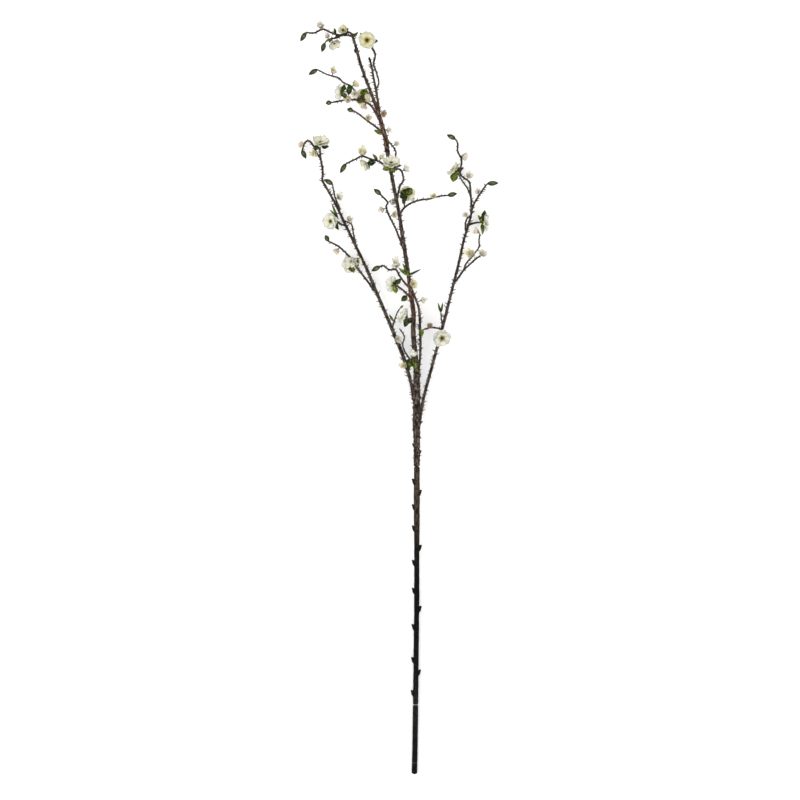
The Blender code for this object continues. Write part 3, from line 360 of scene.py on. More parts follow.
# %% Bark of the branches and twigs
bark, t = finish("bark", Specular_IOR_Level=0.08)
turn = t.times(t.mark("across"), 6.2832)
lengthwise = t.vector(t.maths("COSINE", turn), t.maths("SINE", turn), t.times(t.mark("along"), 0.11))
fissure = t.noise(1.6, 5.0, 0.62, lengthwise)
mottle = t.noise(3.1, 4.0, 0.65, lengthwise)
height = t.upward(0.4, 1.2)
middle = t.spread(t.aside(), 0.02, 0.035, 1.0, 0.0)
low_red = t.ramp(height, (0.34, 0), (0.37, 1), (0.43, 1), (0.47, 0))
high_red = t.ramp(height, (0.46, 0), (0.68, 0.15), (0.72, 0.9), (0.79, 0.9), (0.83, 0.1))
zones = t.maths("MULTIPLY_ADD", low_red, middle, high_red)
patch = t.maths("MULTIPLY_ADD", t.noise(60, 2, 0.5), 0.5, t.times(zones, 0.4))
brown = t.ramp(fissure, (0.38, (0.004, 0.003, 0.0025)), (0.5, (0.03, 0.021, 0.016)),
               (0.61, (0.17, 0.128, 0.1)))
red = t.ramp(fissure, (0.4, (0.01, 0.004, 0.003)), (0.5, (0.07, 0.033, 0.023)), (0.62, (0.26, 0.165, 0.12)))
both = t.mix(t.ramp(patch, (0.4, 0), (0.62, 0.9)), brown, red)
dark = t.mix(t.ramp(mottle, (0.36, 0.85), (0.5, 0)), both, (0.006, 0.0045, 0.004))
pale = t.ramp(mottle, (0.54, 0), (0.7, 0.8))
t.colour(t.mix(t.times(pale, t.mark("tone")), dark, (0.34, 0.27, 0.22)))
t.rough(mottle, 0.6, 0.9)
t.bump(t.maths("ADD", t.times(mottle, 0.5), fissure), 0.0012, 0.9)

# %% Plastic of the lower stem
stem_skin, t = finish("stem_plastic", Specular_IOR_Level=0.04)
length_tone = t.ramp(
    t.upward(-0.04, 0.56), (0.0, 0.007), (0.06, (0.008, 0.008, 0.007)), (0.14, (0.018, 0.016, 0.013)),
    (0.2, (0.02, 0.018, 0.015)), (0.26, (0.01, 0.01, 0.008)), (0.46, (0.006, 0.006, 0.005)),
    (0.6, (0.012, 0.01, 0.008)), (0.69, (0.075, 0.054, 0.036)), (0.85, (0.095, 0.07, 0.046)),
    (1.0, (0.095, 0.068, 0.048)))
mottle = t.noise(430, 4, 0.65, t.node("Mapping", {"Vector": t.place(), "Scale": (1.0, 0.55, 1.0)}))
speck = t.noise(900, 2, 0.5)
stem_wear_and_bud_top_light = t.mix(1.0, length_tone, t.ramp(mottle, (0.4, 0.12), (0.62, 1)), "MULTIPLY")
flecked = t.mix(t.ramp(speck, (0.62, 0), (0.75, 0.25)), stem_wear_and_bud_top_light, (0.14, 0.125, 0.1))
head = t.mix(t.ramp(t.mark("tone"), (0.2, 0), (0.5, 0.85), (0.8, 0)), flecked, (0.007, 0.006, 0.005))
t.colour(t.mix(t.ramp(t.mark("tone"), (0.7, 0), (1.0, 1)), head, (0.2, 0.195, 0.185)))
t.rough(mottle, 0.42, 0.7)
t.bump(t.maths("ADD", mottle, speck), 0.0004, 0.45)

# %% Petal cloth
petal_cloth, t = finish("petal_cloth", 0.7, Subsurface_Weight=0.12, Subsurface_Radius=(1.0, 0.9, 0.7),
                        Subsurface_Scale=0.002, Specular_IOR_Level=0.25)
reach, across = t.mark("along"), t.mark("across")
inner = t.ramp(reach, (0.0, (0.3, 0.28, 0.05)), (0.3, (0.66, 0.61, 0.27)), (0.62, (0.74, 0.7, 0.42)),
               (1.0, (0.74, 0.71, 0.52)))
outer = t.ramp(reach, (0.0, (0.34, 0.35, 0.15)), (0.3, (0.7, 0.695, 0.55)), (0.75, (0.8, 0.8, 0.75)),
               (1.0, (0.72, 0.72, 0.69)))
both = t.mix(t.mark("tone"), outer, inner)
veins = t.stripes(t.vector(across, t.times(reach, 0.25)), 2.3, 3.5)
# Painted shade: grey mottles, placed by noise, stand in for the shade between the ruffles.
painted_ruffle_shade = t.mix(t.ramp(t.noise(300, 3, 0.65), (0.5, 0), (0.66, 0.45)), both, (0.36, 0.37, 0.3))
# Painted shade: the tip and the side edges of each petal are painted greyer.
edge = t.maths("MAXIMUM", t.ramp(reach, (0.88, 0), (1.0, 0.55)),
               t.ramp(t.maths("ABSOLUTE", across), (0.78, 0), (1.0, 0.7)))
rimmed = t.mix(edge, painted_ruffle_shade, (0.27, 0.26, 0.2))
t.colour(t.mix(t.ramp(veins, (0.0, 0.22), (0.35, 0)), rimmed, (0.4, 0.39, 0.28)))
t.bump(t.maths("ADD", t.times(veins, 0.7), t.noise(1500, 1, 0.5)), 0.00022, 0.5)

# %% Stamens
stamen_dark, t = finish("stamens", 0.75, Specular_IOR_Level=0.1)
speck = t.noise(1400, 2, 0.5)
heart = t.ramp(t.mark("along"), (0.0, (0.016, 0.02, 0.002)), (0.55, (0.07, 0.06, 0.006)),
               (0.8, (0.04, 0.024, 0.004)), (1.0, (0.13, 0.075, 0.008)))
t.colour(t.mix(t.ramp(speck, (0.5, 0), (0.7, 0.6)), heart, (0.25, 0.18, 0.02)))
t.bump(speck, 0.0002, 0.6)

# %% Leaf cloth
leaf_cloth, t = finish("leaf_cloth", 0.5, Specular_IOR_Level=0.1)
tone, side = t.mark("tone"), t.maths("ABSOLUTE", t.mark("across"))
cloud = t.noise(230, 3, 0.62)
dark = t.ramp(cloud, (0.4, (0.0015, 0.005, 0.001)), (0.5, (0.009, 0.024, 0.004)), (0.62, (0.08, 0.125, 0.02)))
olive = t.ramp(cloud, (0.38, (0.012, 0.026, 0.002)), (0.5, (0.1, 0.135, 0.01)), (0.62, (0.34, 0.36, 0.05)))
rib = t.ramp(side, (0.0, 0.7), (0.12, 0))
rib_share = t.times(rib, t.maths("MULTIPLY_ADD", tone, 0.7, 0.3))
ribbed = t.mix(rib_share, t.mix(tone, dark, olive), (0.24, 0.28, 0.06))
veins = t.stripes(t.vector(t.maths("SUBTRACT", t.mark("along"), t.times(side, 0.28))), 2.6)
veined = t.mix(t.times(t.ramp(veins, (0.0, 0.4), (0.22, 0)), tone), ribbed, (0.17, 0.22, 0.05))
# Painted shade: the edges of each leaf are painted darker.
t.colour(t.mix(t.ramp(side, (0.62, 0), (1.0, 0.7)), veined, (0.004, 0.011, 0.003)))
t.rough(cloud, 0.38, 0.6)
t.bump(t.maths("ADD", veins, rib), 0.0004, 0.6)

# %% Tip buds
bud_green, t = finish("bud_green", 0.42, Specular_IOR_Level=0.12)
cloud = t.noise(300, 3, 0.6)
winding = t.maths("MULTIPLY_ADD", t.mark("across"), 9.425, t.times(t.mark("along"), 0.8))
seam = t.maths("ABSOLUTE", t.maths("SINE", winding))
# Painted light: the tone mark is high on the bud's top, so the top is painted paler.
stem_wear_and_bud_top_light = t.mix(t.mark("tone"), (0.006, 0.015, 0.003), (0.2, 0.24, 0.095))
# Painted highlight: the seams run along the three ridges and are painted lighter.
lit = t.mix(t.ramp(seam, (0.0, 0.5), (0.2, 0)), stem_wear_and_bud_top_light, (0.1, 0.13, 0.04))
body = t.mix(t.ramp(cloud, (0.42, 0.75), (0.62, 0)), lit, (0.007, 0.018, 0.004))
ends = t.ramp(t.mark("along"), (0.0, 0.8), (0.16, 0), (0.86, 0), (1.0, 0.7))
t.colour(t.mix(ends, body, (0.06, 0.035, 0.02)))
t.bump(cloud, 0.0004, 0.5)

# %% Small blossoms, in five tints chosen by tone
small_cloth, t = finish("small_blossom_cloth", 0.68, Subsurface_Weight=0.1, Subsurface_Scale=0.0015,
                        Specular_IOR_Level=0.2)
reach = t.mark("along")
tints = t.ramp(t.mark("tone"), (0.0, (0.78, 0.77, 0.67)), (0.25, (0.77, 0.73, 0.5)),
               (0.5, (0.77, 0.67, 0.54)), (0.75, (0.78, 0.73, 0.68)), (1.0, (0.36, 0.26, 0.19)))
stained = t.mix(t.ramp(reach, (0.0, 1), (0.4, 0.4), (0.75, 0)), tints, (0.11, 0.1, 0.025))
blotch = t.mix(t.ramp(t.noise(420, 3, 0.6), (0.48, 0), (0.66, 0.6)), stained, (0.4, 0.34, 0.22))
t.colour(t.mix(t.ramp(reach, (0.86, 0), (1.0, 0.45)), blotch, (0.34, 0.27, 0.18)))
t.bump(t.noise(900, 2, 0.5), 0.0002, 0.5)
finishes = (bark, stem_skin, petal_cloth, stamen_dark, leaf_cloth, bud_green, small_cloth)
print("materials:", [made.name for made in finishes])

# %% [markdown]
# ## The tables of the branch
#
# These are the sizes that the solids were made from, in millimetres, with ten of the open blossoms and
# many leaves moved or widened a little to sit closer to the photograph: where each limb and twig runs,
# how high it lies, and where each blossom sits and faces. A blossom's line holds its centre, the way it
# faces, its diameter, the lift and turn of its petals, and the tips and widths of the leaves at its cup.

# %% Tables
CENTRE = [(2.9, 452.8), (2.9, 494), (3.2, 526), (2.7, 558), (2.6, 590), (1.9, 613), (0, 635), (-1.9, 654),
          (-2.9, 674), (-2.2, 694), (-3.8, 710), (-6.4, 725), (-8.3, 742), (-13.1, 776), (-18.6, 811),
          (-24.6, 851), (-32, 890), (-39, 926), (-44.5, 958), (-46.4, 974), (-50.2, 987), (-57, 1013)]
CENTRE_RADII = (4.6, 4.9, 5.3, 5.2, 3.9, 3.6, 3.4, 3.0, 3.1, 2.8, 2.6, 2.7, 3.8, 3.2)
LEFT_FORK = [(-57, 1010), (-64, 1032), (-73, 1056), (-81, 1077), (-88, 1098), (-93.8, 1120), (-101.1, 1143.7)]
RIGHT_FORK = [(-56.6, 1010), (-58.9, 1032), (-62.2, 1053), (-66.2, 1073), (-69.8, 1093), (-73.3, 1105.6)]
TWIN = [(3.2, 592), (5.8, 603), (8.6, 638), (8, 674), (6.1, 704), (-1, 725), (-8.3, 745.6)]
LEFT = [(0.3, 549), (-2.2, 562), (-7.4, 590), (-18.6, 627), (-32.3, 661), (-47, 697), (-62.1, 732),
        (-77.1, 768), (-93.4, 802), (-109.4, 835), (-125.1, 868), (-143.4, 901), (-148.2, 910),
        (-147.8, 926), (-151.4, 947), (-151.8, 957)]
RIGHT = [(5.8, 514), (8.5, 530), (13.4, 560), (23.4, 598), (33.9, 637), (43.7, 673), (53.1, 710),
         (61.8, 745), (70.4, 779), (78.1, 814), (84.2, 834), (89.3, 853), (91.2, 863), (95.4, 874),
         (103, 887), (110.4, 898), (116.2, 905)]
BLOOMS = {
    "tip": ((-76.6, 1132, 57), (0, 0.05, 1), 30, 12, 10,
            [(-58.5, 1131.5, 51, 7.5), (-88, 1145, 50, 6)]),
    "tip_left": ((-130, 1129, 46), (0.35, -0.65, 0.5), 23, 26, 30,
                 [(-121.5, 1120.5, 43, 5), (-139, 1133.5, 47.5, 5)]),
    "tip_bud": ((-113.5, 1147, 47), (-0.35, 0.45, 0.8), 22, 42, 0,
                [(-106.5, 1152, 50, 5), (-117.5, 1138.5, 49, 4.5), (-122, 1147, 50, 3.5)]),
    "upper_far": ((-118.4, 1051, 43), (-0.9, 0.05, -0.35), 27, 18, 12,
                  [(-113, 1062.5, 44, 7), (-110.5, 1039.5, 49, 8)]),
    "upper_near": ((-84, 1042, 31), (0.15, 0.1, -0.97), 28, 16, 0,
                   [(-91.5, 1032.5, 38.5, 9), (-77, 1056.5, 38, 10)]),
    "mid_left": ((-78.5, 935.5, 44), (-0.72, -0.5, 0.35), 22, 18, 20,
                 [(-62.5, 938, 45, 7.5), (-73, 926, 44, 5)]),
    "mid_top": ((-37.9, 934.5, 59), (0.04, 0.82, 0.55), 31, 18, 0,
                [(-21.5, 933, 56, 6), (-52, 926, 54, 9), (-32.5, 920.5, 58, 7)]),
    "mid_down": ((-13, 888, 27), (0.3, 0.2, -0.9), 27, 16, 15,
                 [(-23, 893, 37, 10), (-4.5, 897, 37, 10), (-25, 882, 37.5, 8), (-19.5, 871, 37, 6)]),
    "left_tip": ((-151.2, 968.5, 24), (0.1, 0.81, 0.53), 31, 24, 0,
                 [(-137.5, 964, 24, 7), (-162.5, 960, 28, 7)]),
    "left_upper": ((-134, 844.5, 24), (-0.55, -0.12, 0.82), 29.5, 14, 18,
                   [(-120.5, 841, 29.5, 5), (-122.5, 830.5, 25, 6)]),
    "left_floor": ((-103.5, 775.5, 15), (-0.62, 0.12, -0.77), 30, 14, 0,
                   [(-89, 786, 27, 9), (-99, 761, 30, 9)]),
    "centre_low": ((-34.5, 742.7, 31), (-0.62, 0.22, -0.72), 28, 16, 24,
                   [(-22.5, 753, 43, 7), (-31, 728, 41, 7)]),
    "centre_front": ((-15.5, 691.5, 44), (-0.8, 0.5, 0.2), 29, 20, 6, [(-17, 675, 38, 9)]),
    "right_front": ((42.9, 658.2, 31.5), (0.1, -0.38, 0.92), 30, 16, 20, [(35.5, 640, 27, 6)]),
    "right_upper": ((63.6, 926.0, 20), (-0.65, 0.7, 0.05), 28, 14, 0,
                    [(60, 907, 22, 11), (78, 930.5, 22, 7), (64, 913, 31, 9)]),
    "right_floor": ((111.2, 843, 15), (1, 0.03, -0.04), 30, 12, 0,
                    [(112.5, 863, 20, 8), (108.5, 823.5, 20, 6.5), (101, 854, 28, 5)]),
    "trunk_bud": ((-4, 627, 41), (0.2, 0.85, -0.2), 19, 52, 0, [(-10.5, 609, 43, 10.5), (4, 603.5, 44, 7.5)]),
}
WARMTH = {"tip": (0.3, 1.0), "tip_bud": (0.8, 0.9), "centre_front": (0.0, 0.35), "mid_left": (0.3, 0.8),
          "left_upper": (0.0, 0.3), "right_front": (0.0, 0.25), "upper_near": (0.9, 0.9),
          "mid_down": (0.9, 0.9), "right_upper": (0.7, 0.7)}  # yellow of the outer and inner ring
USUAL_WARMTH = (0.1, 0.4)
HEART = {"tip": 1.0, "right_front": 1.05, "trunk_bud": 0.5, "tip_bud": 1.3, "tip_left": 0.5}
USUAL_HEART = 0.62  # size of the stamens where the table above doesn't tell it
LEAF_TONES = {"tip": (0.0, 0.2), "tip_bud": (0.6, 0.2, 0.7), "upper_far": (0.0, 0.1),
              "upper_near": (0.75, 0.6), "mid_down": (0.1, 0.35, 0.05, 0.0), "mid_left": (0.0, 0.3),
              "mid_top": (0.1, 0.9, 0.8), "left_tip": (0.1, 0.3), "left_upper": (0.5, 0.1),
              "left_floor": (0.9, 0.8), "centre_low": (0.0, 0.95), "right_upper": (0.8, 0.1, 1.0),
              "right_floor": (0.2, 0.95, 0.9), "trunk_bud": (0.1, 0.4), "centre_front": (0.1,),
              "right_front": (0.7,)}  # 0 is dark, 1 is olive
RESTING = ("left_floor", "right_floor")  # these two touch the table with their lowest petals
CREAM, YELLOW, PEACH, PINK, TAN = 0.0, 0.25, 0.5, 0.75, 1.0
TRUNK = curve(along(CENTRE, (16.9, 22, 30, 37, 44)), 1.6)
FORK_L, FORK_R, TWIN_LINE, LEFT_LINE, RIGHT_LINE = (curve(along(plan, heights), 1.5) for plan, heights in (
    (LEFT_FORK, (43.6, 45, 45)), (RIGHT_FORK, (43.6, 46, 47)), (TWIN, (22.5, 24.5, 27, 30.2)),
    (LEFT, (19.5, 17, 16, 16, 17)), (RIGHT, (18.5, 17, 16, 15.5, 18))))
print("limb lengths in mm:", [round(float(run_of(path)[-1])) for path in (TRUNK, LEFT_LINE, RIGHT_LINE)])

# %% [markdown]
# ## Blossoms
#
# A double blossom has five broad outer petals and five smaller ones between them, all cut from thin
# cloth, hot-pressed into a shallow cup with a wavy rim, and glued round a tuft of dark stamens. One petal
# is a grid: along it the surface rises like a dish, across it the sides turn up a little, and a few
# waves grow towards the rim. Making five of them is only five turns of the same grid.

# %% Petals
USUAL_SIZE = 30  # the measures of a blossom are told for this diameter in mm
HALF_OPEN = 40  # degrees of lift from which a blossom is only half open
PETAL_SEED, STAMEN_SEED, CUP_SEED = 3, 40, 80


def square_frame(axis, turn=0.0):
    """Two directions square to an axis, turned by degrees round it, and the axis."""
    axis = unit(axis)
    first = unit(np.cross((0.02, 1, 0.03) if abs(axis[1]) < 0.95 else (1, 0, 0.03), axis))
    second = np.cross(axis, first)
    angle = math.radians(turn)
    return (first * math.cos(angle) + second * math.sin(angle),
            second * math.cos(angle) - first * math.sin(angle), axis)


def petal(centre, axis, turn, reach, width, lift, start, tone, rng, thick=0.5, rows=15, cols=15, ruffle=2.1):
    """One petal as a sheet. With s from root to rim and t from -1 to 1 across: the half width is the width
    times the root of one minus a squared distance from the widest place, the rim is rounded by taking
    t squared off the length, and the height is lift times s, a dish in s squared, a rim wave and a tilt
    in t that lets each petal lie over its neighbour."""
    s = np.linspace(0, 1, rows)[:, None]
    t = np.linspace(-1, 1, cols)[None]
    half = width / 2 * np.sqrt(1 - ((s - 0.62) / 0.65) ** 2)
    length = reach - start
    x = start + length * s * (1 - 0.2 * t**2 * s**2 - 0.06 * s**4 * np.exp(-(t / 0.2) ** 2))
    x = x + 0.25 * s**4 * np.sin(9 * t + rng.uniform(0, 6))
    y = half * t
    wave = rng.uniform(0.6, 1.2) * s**2.5 * np.sin(3.1 * t + rng.uniform(0, 6.28))
    wave = (wave + 0.5 * s**3 * np.sin(7.3 * t + rng.uniform(0, 6.28))) * ruffle * reach / 15
    crease = -0.3 * s * np.exp(-(t / 0.18) ** 2)
    dish = length * s * math.tan(math.radians(lift)) - 0.2 * reach * s * (1 - s)
    z = dish + 0.16 * y + 0.05 * half * t**2 + wave + crease
    z = z + reach * rng.uniform(-0.03, 0.05) * s**2
    first, second, out = square_frame(axis, turn)
    grid = centre + x[..., None] * first + y[..., None] * second + z[..., None] * out
    return sheet(grid, thick, t, s, tone)


def bloom_petals(name, warmth=USUAL_WARMTH):
    """Outer and inner ring of petals of one blossom; warmth tells how yellow each ring is."""
    centre, axis, diameter, lift, turn, _ = BLOOMS[name]
    centre, axis = np.array(centre, float), unit(axis)
    rng = np.random.default_rng(sorted(BLOOMS).index(name) + PETAL_SEED)
    size = diameter / USUAL_SIZE
    reach = diameter / 2 if lift < HALF_OPEN else diameter * 0.36
    narrow = min(1, reach / 15 / size)
    shells = []
    for height, start_turn, scatter, reaches, width, lifted, lifts, start, tone in (
            (0.0, 0, 7, (0.9, 1.02), 15.4, 0, (-6, 7), 1.2, warmth[0]),
            (1.5, 36, 5, (0.72, 0.82), 12.4, 10, (-5, 6), 1.0, warmth[1])):
        for k in range(5):
            shells.append(petal(centre + axis * height * size, axis,
                                turn + start_turn + 72 * k + rng.uniform(-scatter, scatter),
                                reach * rng.uniform(*reaches), width * size * narrow,
                                lift + lifted + rng.uniform(*lifts), start * size, tone, rng))
    return shells


for name in RESTING:  # the lowest petal lies on the table, at height zero
    lowest = min(s[0][:, 2].min() for s in bloom_petals(name))
    (x, y, z), *rest = BLOOMS[name]
    BLOOMS[name] = ((x, y, z - lowest), *rest)
for name in sorted(BLOOMS):
    petals = bloom_petals(name, WARMTH.get(name, USUAL_WARMTH))
    piece("petals_" + name, petals, petal_cloth, "petals", "bloom_" + name)

# %% [markdown]
# ## Stamens
#
# The heart of each blossom is a low dark button with a brush of short stamens. Golden-angle spacing puts
# them evenly over the dome, as seeds stand in a seed head, with no rows to be seen.

# %% Stamens
GOLDEN_ANGLE = math.radians(137.5)


def stamen_tuft(spec, seed, share):
    """A dome and a brush: stamen k stands at the angle k times 137.5 degrees, and leans out with the root
    of k. Each is a thin bar with an egg-shaped tip."""
    centre, axis, diameter, lift, *_ = spec
    centre = np.array(centre, float)
    rng = np.random.default_rng(seed)
    size = diameter / USUAL_SIZE * share
    first, second, out = square_frame(axis)
    shells = [turned(centre - out * 1.2 * size, centre + out * 4.4 * size,
                     [(0.15, 2.4), (0.5, 3.1), (0.8, 2.3), (0.95, 1.1)], size, 14, 8)]
    count = 30 if diameter > 22 else 20
    spread = 1.0 if lift < HALF_OPEN else 0.45
    for k in range(count):
        lean = math.sqrt((k + 0.5) / count)
        angle = GOLDEN_ANGLE * k
        ray = first * math.cos(angle) + second * math.sin(angle)
        foot = centre + out * 3.0 * size + ray * 1.8 * size * lean
        high = centre + out * size * (6.6 - 2.2 * lean + rng.uniform(-0.4, 0.4))
        tip = high + ray * size * spread * 4.9 * lean
        shells.append(bar(np.linspace(foot, tip, 4), (0.16, 0.13), 4, tone=0.2))
        shells.append(turned(tip - (tip - foot) * 0.06, tip + unit(tip - foot) * 0.95,
                             [(0.35, 0.42), (0.75, 0.34)], 1, 6, 4, tone=1.0))
    return shells


for number, name in enumerate(sorted(BLOOMS)):
    tuft = stamen_tuft(BLOOMS[name], number + STAMEN_SEED, HEART.get(name, USUAL_HEART))
    piece("stamens_" + name, tuft, stamen_dark, "petals")

# %% [markdown]
# ## Cups and leaves
#
# Behind the petals sits a green cup with five small sepals, and from it come one to four leaves. A leaf
# is a sheet again: pointed at both ends, folded a little along its midrib, arched from root to tip, with
# a fine wave on its edge. Some leaves are dark, others are olive, as in the photograph.

# %% Leaves
def leaf(root, tip, width, normal=(0, 0, 1), arch=1.0, fold=-0.25, tone=0.3, seed=0, thick=0.45, rows=17,
         cols=9):
    """One leaf. With s along and t across: the half width is the width times sin(pi s^0.8) to the power
    0.85 with a small wave, the midrib rises by 4 s (1 - s) times the arch, and the sides drop by the fold."""
    rng = np.random.default_rng(seed)
    root, tip = np.array(root, float), np.array(tip, float)
    ahead = unit(tip - root)
    face = np.asarray(normal, float)
    face = unit(face - ahead * np.dot(face, ahead))
    side = np.cross(face, ahead)
    s = np.linspace(0, 1, rows)[:, None]
    t = np.linspace(-1, 1, cols)[None]
    half = width / 2 * (np.sin(math.pi * np.clip(s, 0.012, 0.992) ** 0.8)) ** 0.85
    y = half * (1 + 0.05 * np.sin(34 * s + rng.uniform(0, 6))) * t
    length = np.linalg.norm(tip - root)
    height = arch * 4 * s * (1 - s) + fold * np.abs(y) + 0.05 * width * np.sin(9 * s + rng.uniform(0, 6)) * t
    height = height - 0.05 * length * s**3
    sway = 0.04 * length * np.sin(math.pi * s) * rng.uniform(-1, 1)
    grid = root + ahead * (length * s)[..., None] + side * (y + sway)[..., None] + face * height[..., None]
    return sheet(grid, thick, t, s, tone)


def cup_back(name, extra=0.0):
    """The point behind a blossom's cup."""
    centre, axis, diameter, *_ = BLOOMS[name]
    return np.array(centre, float) - unit(axis) * (6.5 * diameter / USUAL_SIZE + extra)


def cup_and_leaves(name, seed):
    """The green cup behind a blossom with its five sepals, and the leaves that its line in the table
    tells. A leaf faces partly along the blossom's axis and partly up, or down where the blossom hangs."""
    centre, axis, diameter, lift, turn, leaves = BLOOMS[name]
    centre, axis = np.array(centre, float), unit(axis)
    rng = np.random.default_rng(seed)
    size = diameter / USUAL_SIZE
    shells = [turned(cup_back(name), centre - axis * 0.9 * size,
                     [(0.1, 1.2), (0.35, 2.0), (0.7, 2.55), (0.92, 2.2)], size, 15, 9, 5, 0.06, tone=0.5)]
    rise = 0.12 if lift < HALF_OPEN else 0.9
    for k in range(5):
        first, second, out = square_frame(axis, turn + 36 + 72 * k)
        root = centre - out * 2.4 * size + first * 1.6 * size
        tip = root + first * 5.2 * size + out * (0.4 + 5 * rise) * size
        shells.append(leaf(root, tip, 3.0 * size, out, -0.3, 0.15, 0.45, int(rng.integers(999)), 0.4, 9, 5))
    tones = list(LEAF_TONES.get(name, ()))
    normal = axis * 0.6 + np.array((0, 0, 0.8 if axis[2] >= -0.1 else -0.8))
    for *tip, width in leaves:
        reach = np.array(tip) - centre
        aside = unit(reach - axis * np.dot(reach, axis))
        root = centre - axis * 3.6 * size + aside * 1.3 * size
        tone = tones.pop(0) if tones else float(rng.uniform(0, 0.75))
        shells.append(leaf(root, tip, width * 1.3, normal, -1.0, 0.2, tone, int(rng.integers(999))))
    return shells


for number, name in enumerate(sorted(BLOOMS)):
    piece("cup_" + name, cup_and_leaves(name, number + CUP_SEED), leaf_cloth, "leaves", "calyx_" + name)

# %% [markdown]
# ## Thorns, tip buds and small blossoms
#
# These are the small repeats. A thorn is a short hooked bar that ends in a point. A tip bud is an egg
# with three soft ridges where its scales lie over each other. A small blossom is half open: five ruffled
# petals round four steeper ones, in a loose cone on a green foot.

# %% Small repeats
SPRAY_BLOSSOM_AT_LIMB = (-162, 953, 11)  # a small blossom that the left limb's spines would reach
SPINE_SPACING = 3.7  # mm from spine to spine, on average
THICK = 1.7  # mm of radius from which a line counts as a limb
CLEAR_SMALL, CLEAR_OPEN, CLEAR_FACE = 0.6, 0.52, 5  # two shares of a blossom's diameter, and mm from its face


def pierces(point, small):
    """Whether a spine that ends at the point would reach a small or an open blossom."""
    if any(math.hypot(point[0] - x, point[1] - y) < CLEAR_SMALL * across for x, y, across in small):
        return True
    gaps = [(point - centre, unit(axis), diameter) for centre, axis, diameter, *_ in BLOOMS.values()]
    return any(np.linalg.norm(gap) < CLEAR_OPEN * diameter and abs(np.dot(gap, axis)) < CLEAR_FACE
               for gap, axis, diameter in gaps)


def thorny(path, radii, seed, blossoms=()):
    """A bark bar with hooked spines. The radius swells a little under each spine, as a bell curve along
    the line; a spine stands at a random angle, mostly to the sides, and leans towards the limb's tip.
    Spines that would pierce a blossom are left out."""
    rng = np.random.default_rng(seed)
    sides, grain, size = (26, 5.0, (2.6, 5.9)) if max(radii) > THICK else (12, 3.0, (1.5, 3.5))
    small = [spot[:3] for spot in (*blossoms, SPRAY_BLOSSOM_AT_LIMB)]
    run = run_of(path)
    tangents = unit(np.gradient(path, axis=0))
    count = int(run[-1] / SPINE_SPACING * 1.3) + 2
    places = np.cumsum(SPINE_SPACING * rng.uniform(0.45, 1.55, count))
    places = places[places < run[-1] - 1.5]
    radius = np.interp(run / run[-1], np.linspace(0, 1, len(radii)), radii)
    swell = np.exp(-((run[:, None] - places[None]) / 1.4) ** 2).sum(axis=1)
    shells = [bar(path, radius * (1 + 0.12 * np.minimum(swell, 1)), sides, 0.1, grain, seed, tone=0.35)]
    share = np.linspace(0, 1, 4)[:, None]
    for row in np.searchsorted(run, places):
        tangent = tangents[row]
        flat = unit(np.cross((0, 0, 1), tangent))
        angle = rng.choice((0, math.pi)) + rng.normal(0, 0.55)
        out = unit(flat * math.cos(angle) + np.cross(tangent, flat) * math.sin(angle))
        length = rng.uniform(*size)
        lean = rng.uniform(0, 0.8) * length * share**1.7
        line = path[row] + out * (radius[row] * 0.72 + share * length) + tangent * lean
        if line[:, 2].min() > 0.3 and not pierces(line[-1], small):
            spine = np.array((1.1, 0.7, 0.42, 0.1)) * min(1.35, 0.4 + 0.22 * length)
            shells.append(bar(line, spine, 5, tone=0.5))
    return shells


def tip_bud(base, x, y):
    """Closed green bud: an egg with three ridges that wind a little round it, on a small brown collar."""
    tip = np.array((x, y, base[2] + 0.5))
    wide = 4.15 if np.linalg.norm(tip - base) > 8 else 3.0  # a short bud is slimmer
    ahead = unit(tip - base)
    egg = [(0.06, 0.38), (0.2, 0.78), (0.42, 1), (0.62, 0.88), (0.8, 0.56), (0.93, 0.2)]
    made = turned(base - ahead * 0.8, tip + ahead * 0.3, egg, wide, 20, 16, 3, 0.07, 1.6)
    top = (made[0][:, 2] - base[2] - 0.25 * wide) / (0.75 * wide)
    made[3][:, 2] = np.clip(top, 0, 1) ** 4  # painted light: the top is paler, as where the light falls on it
    return made


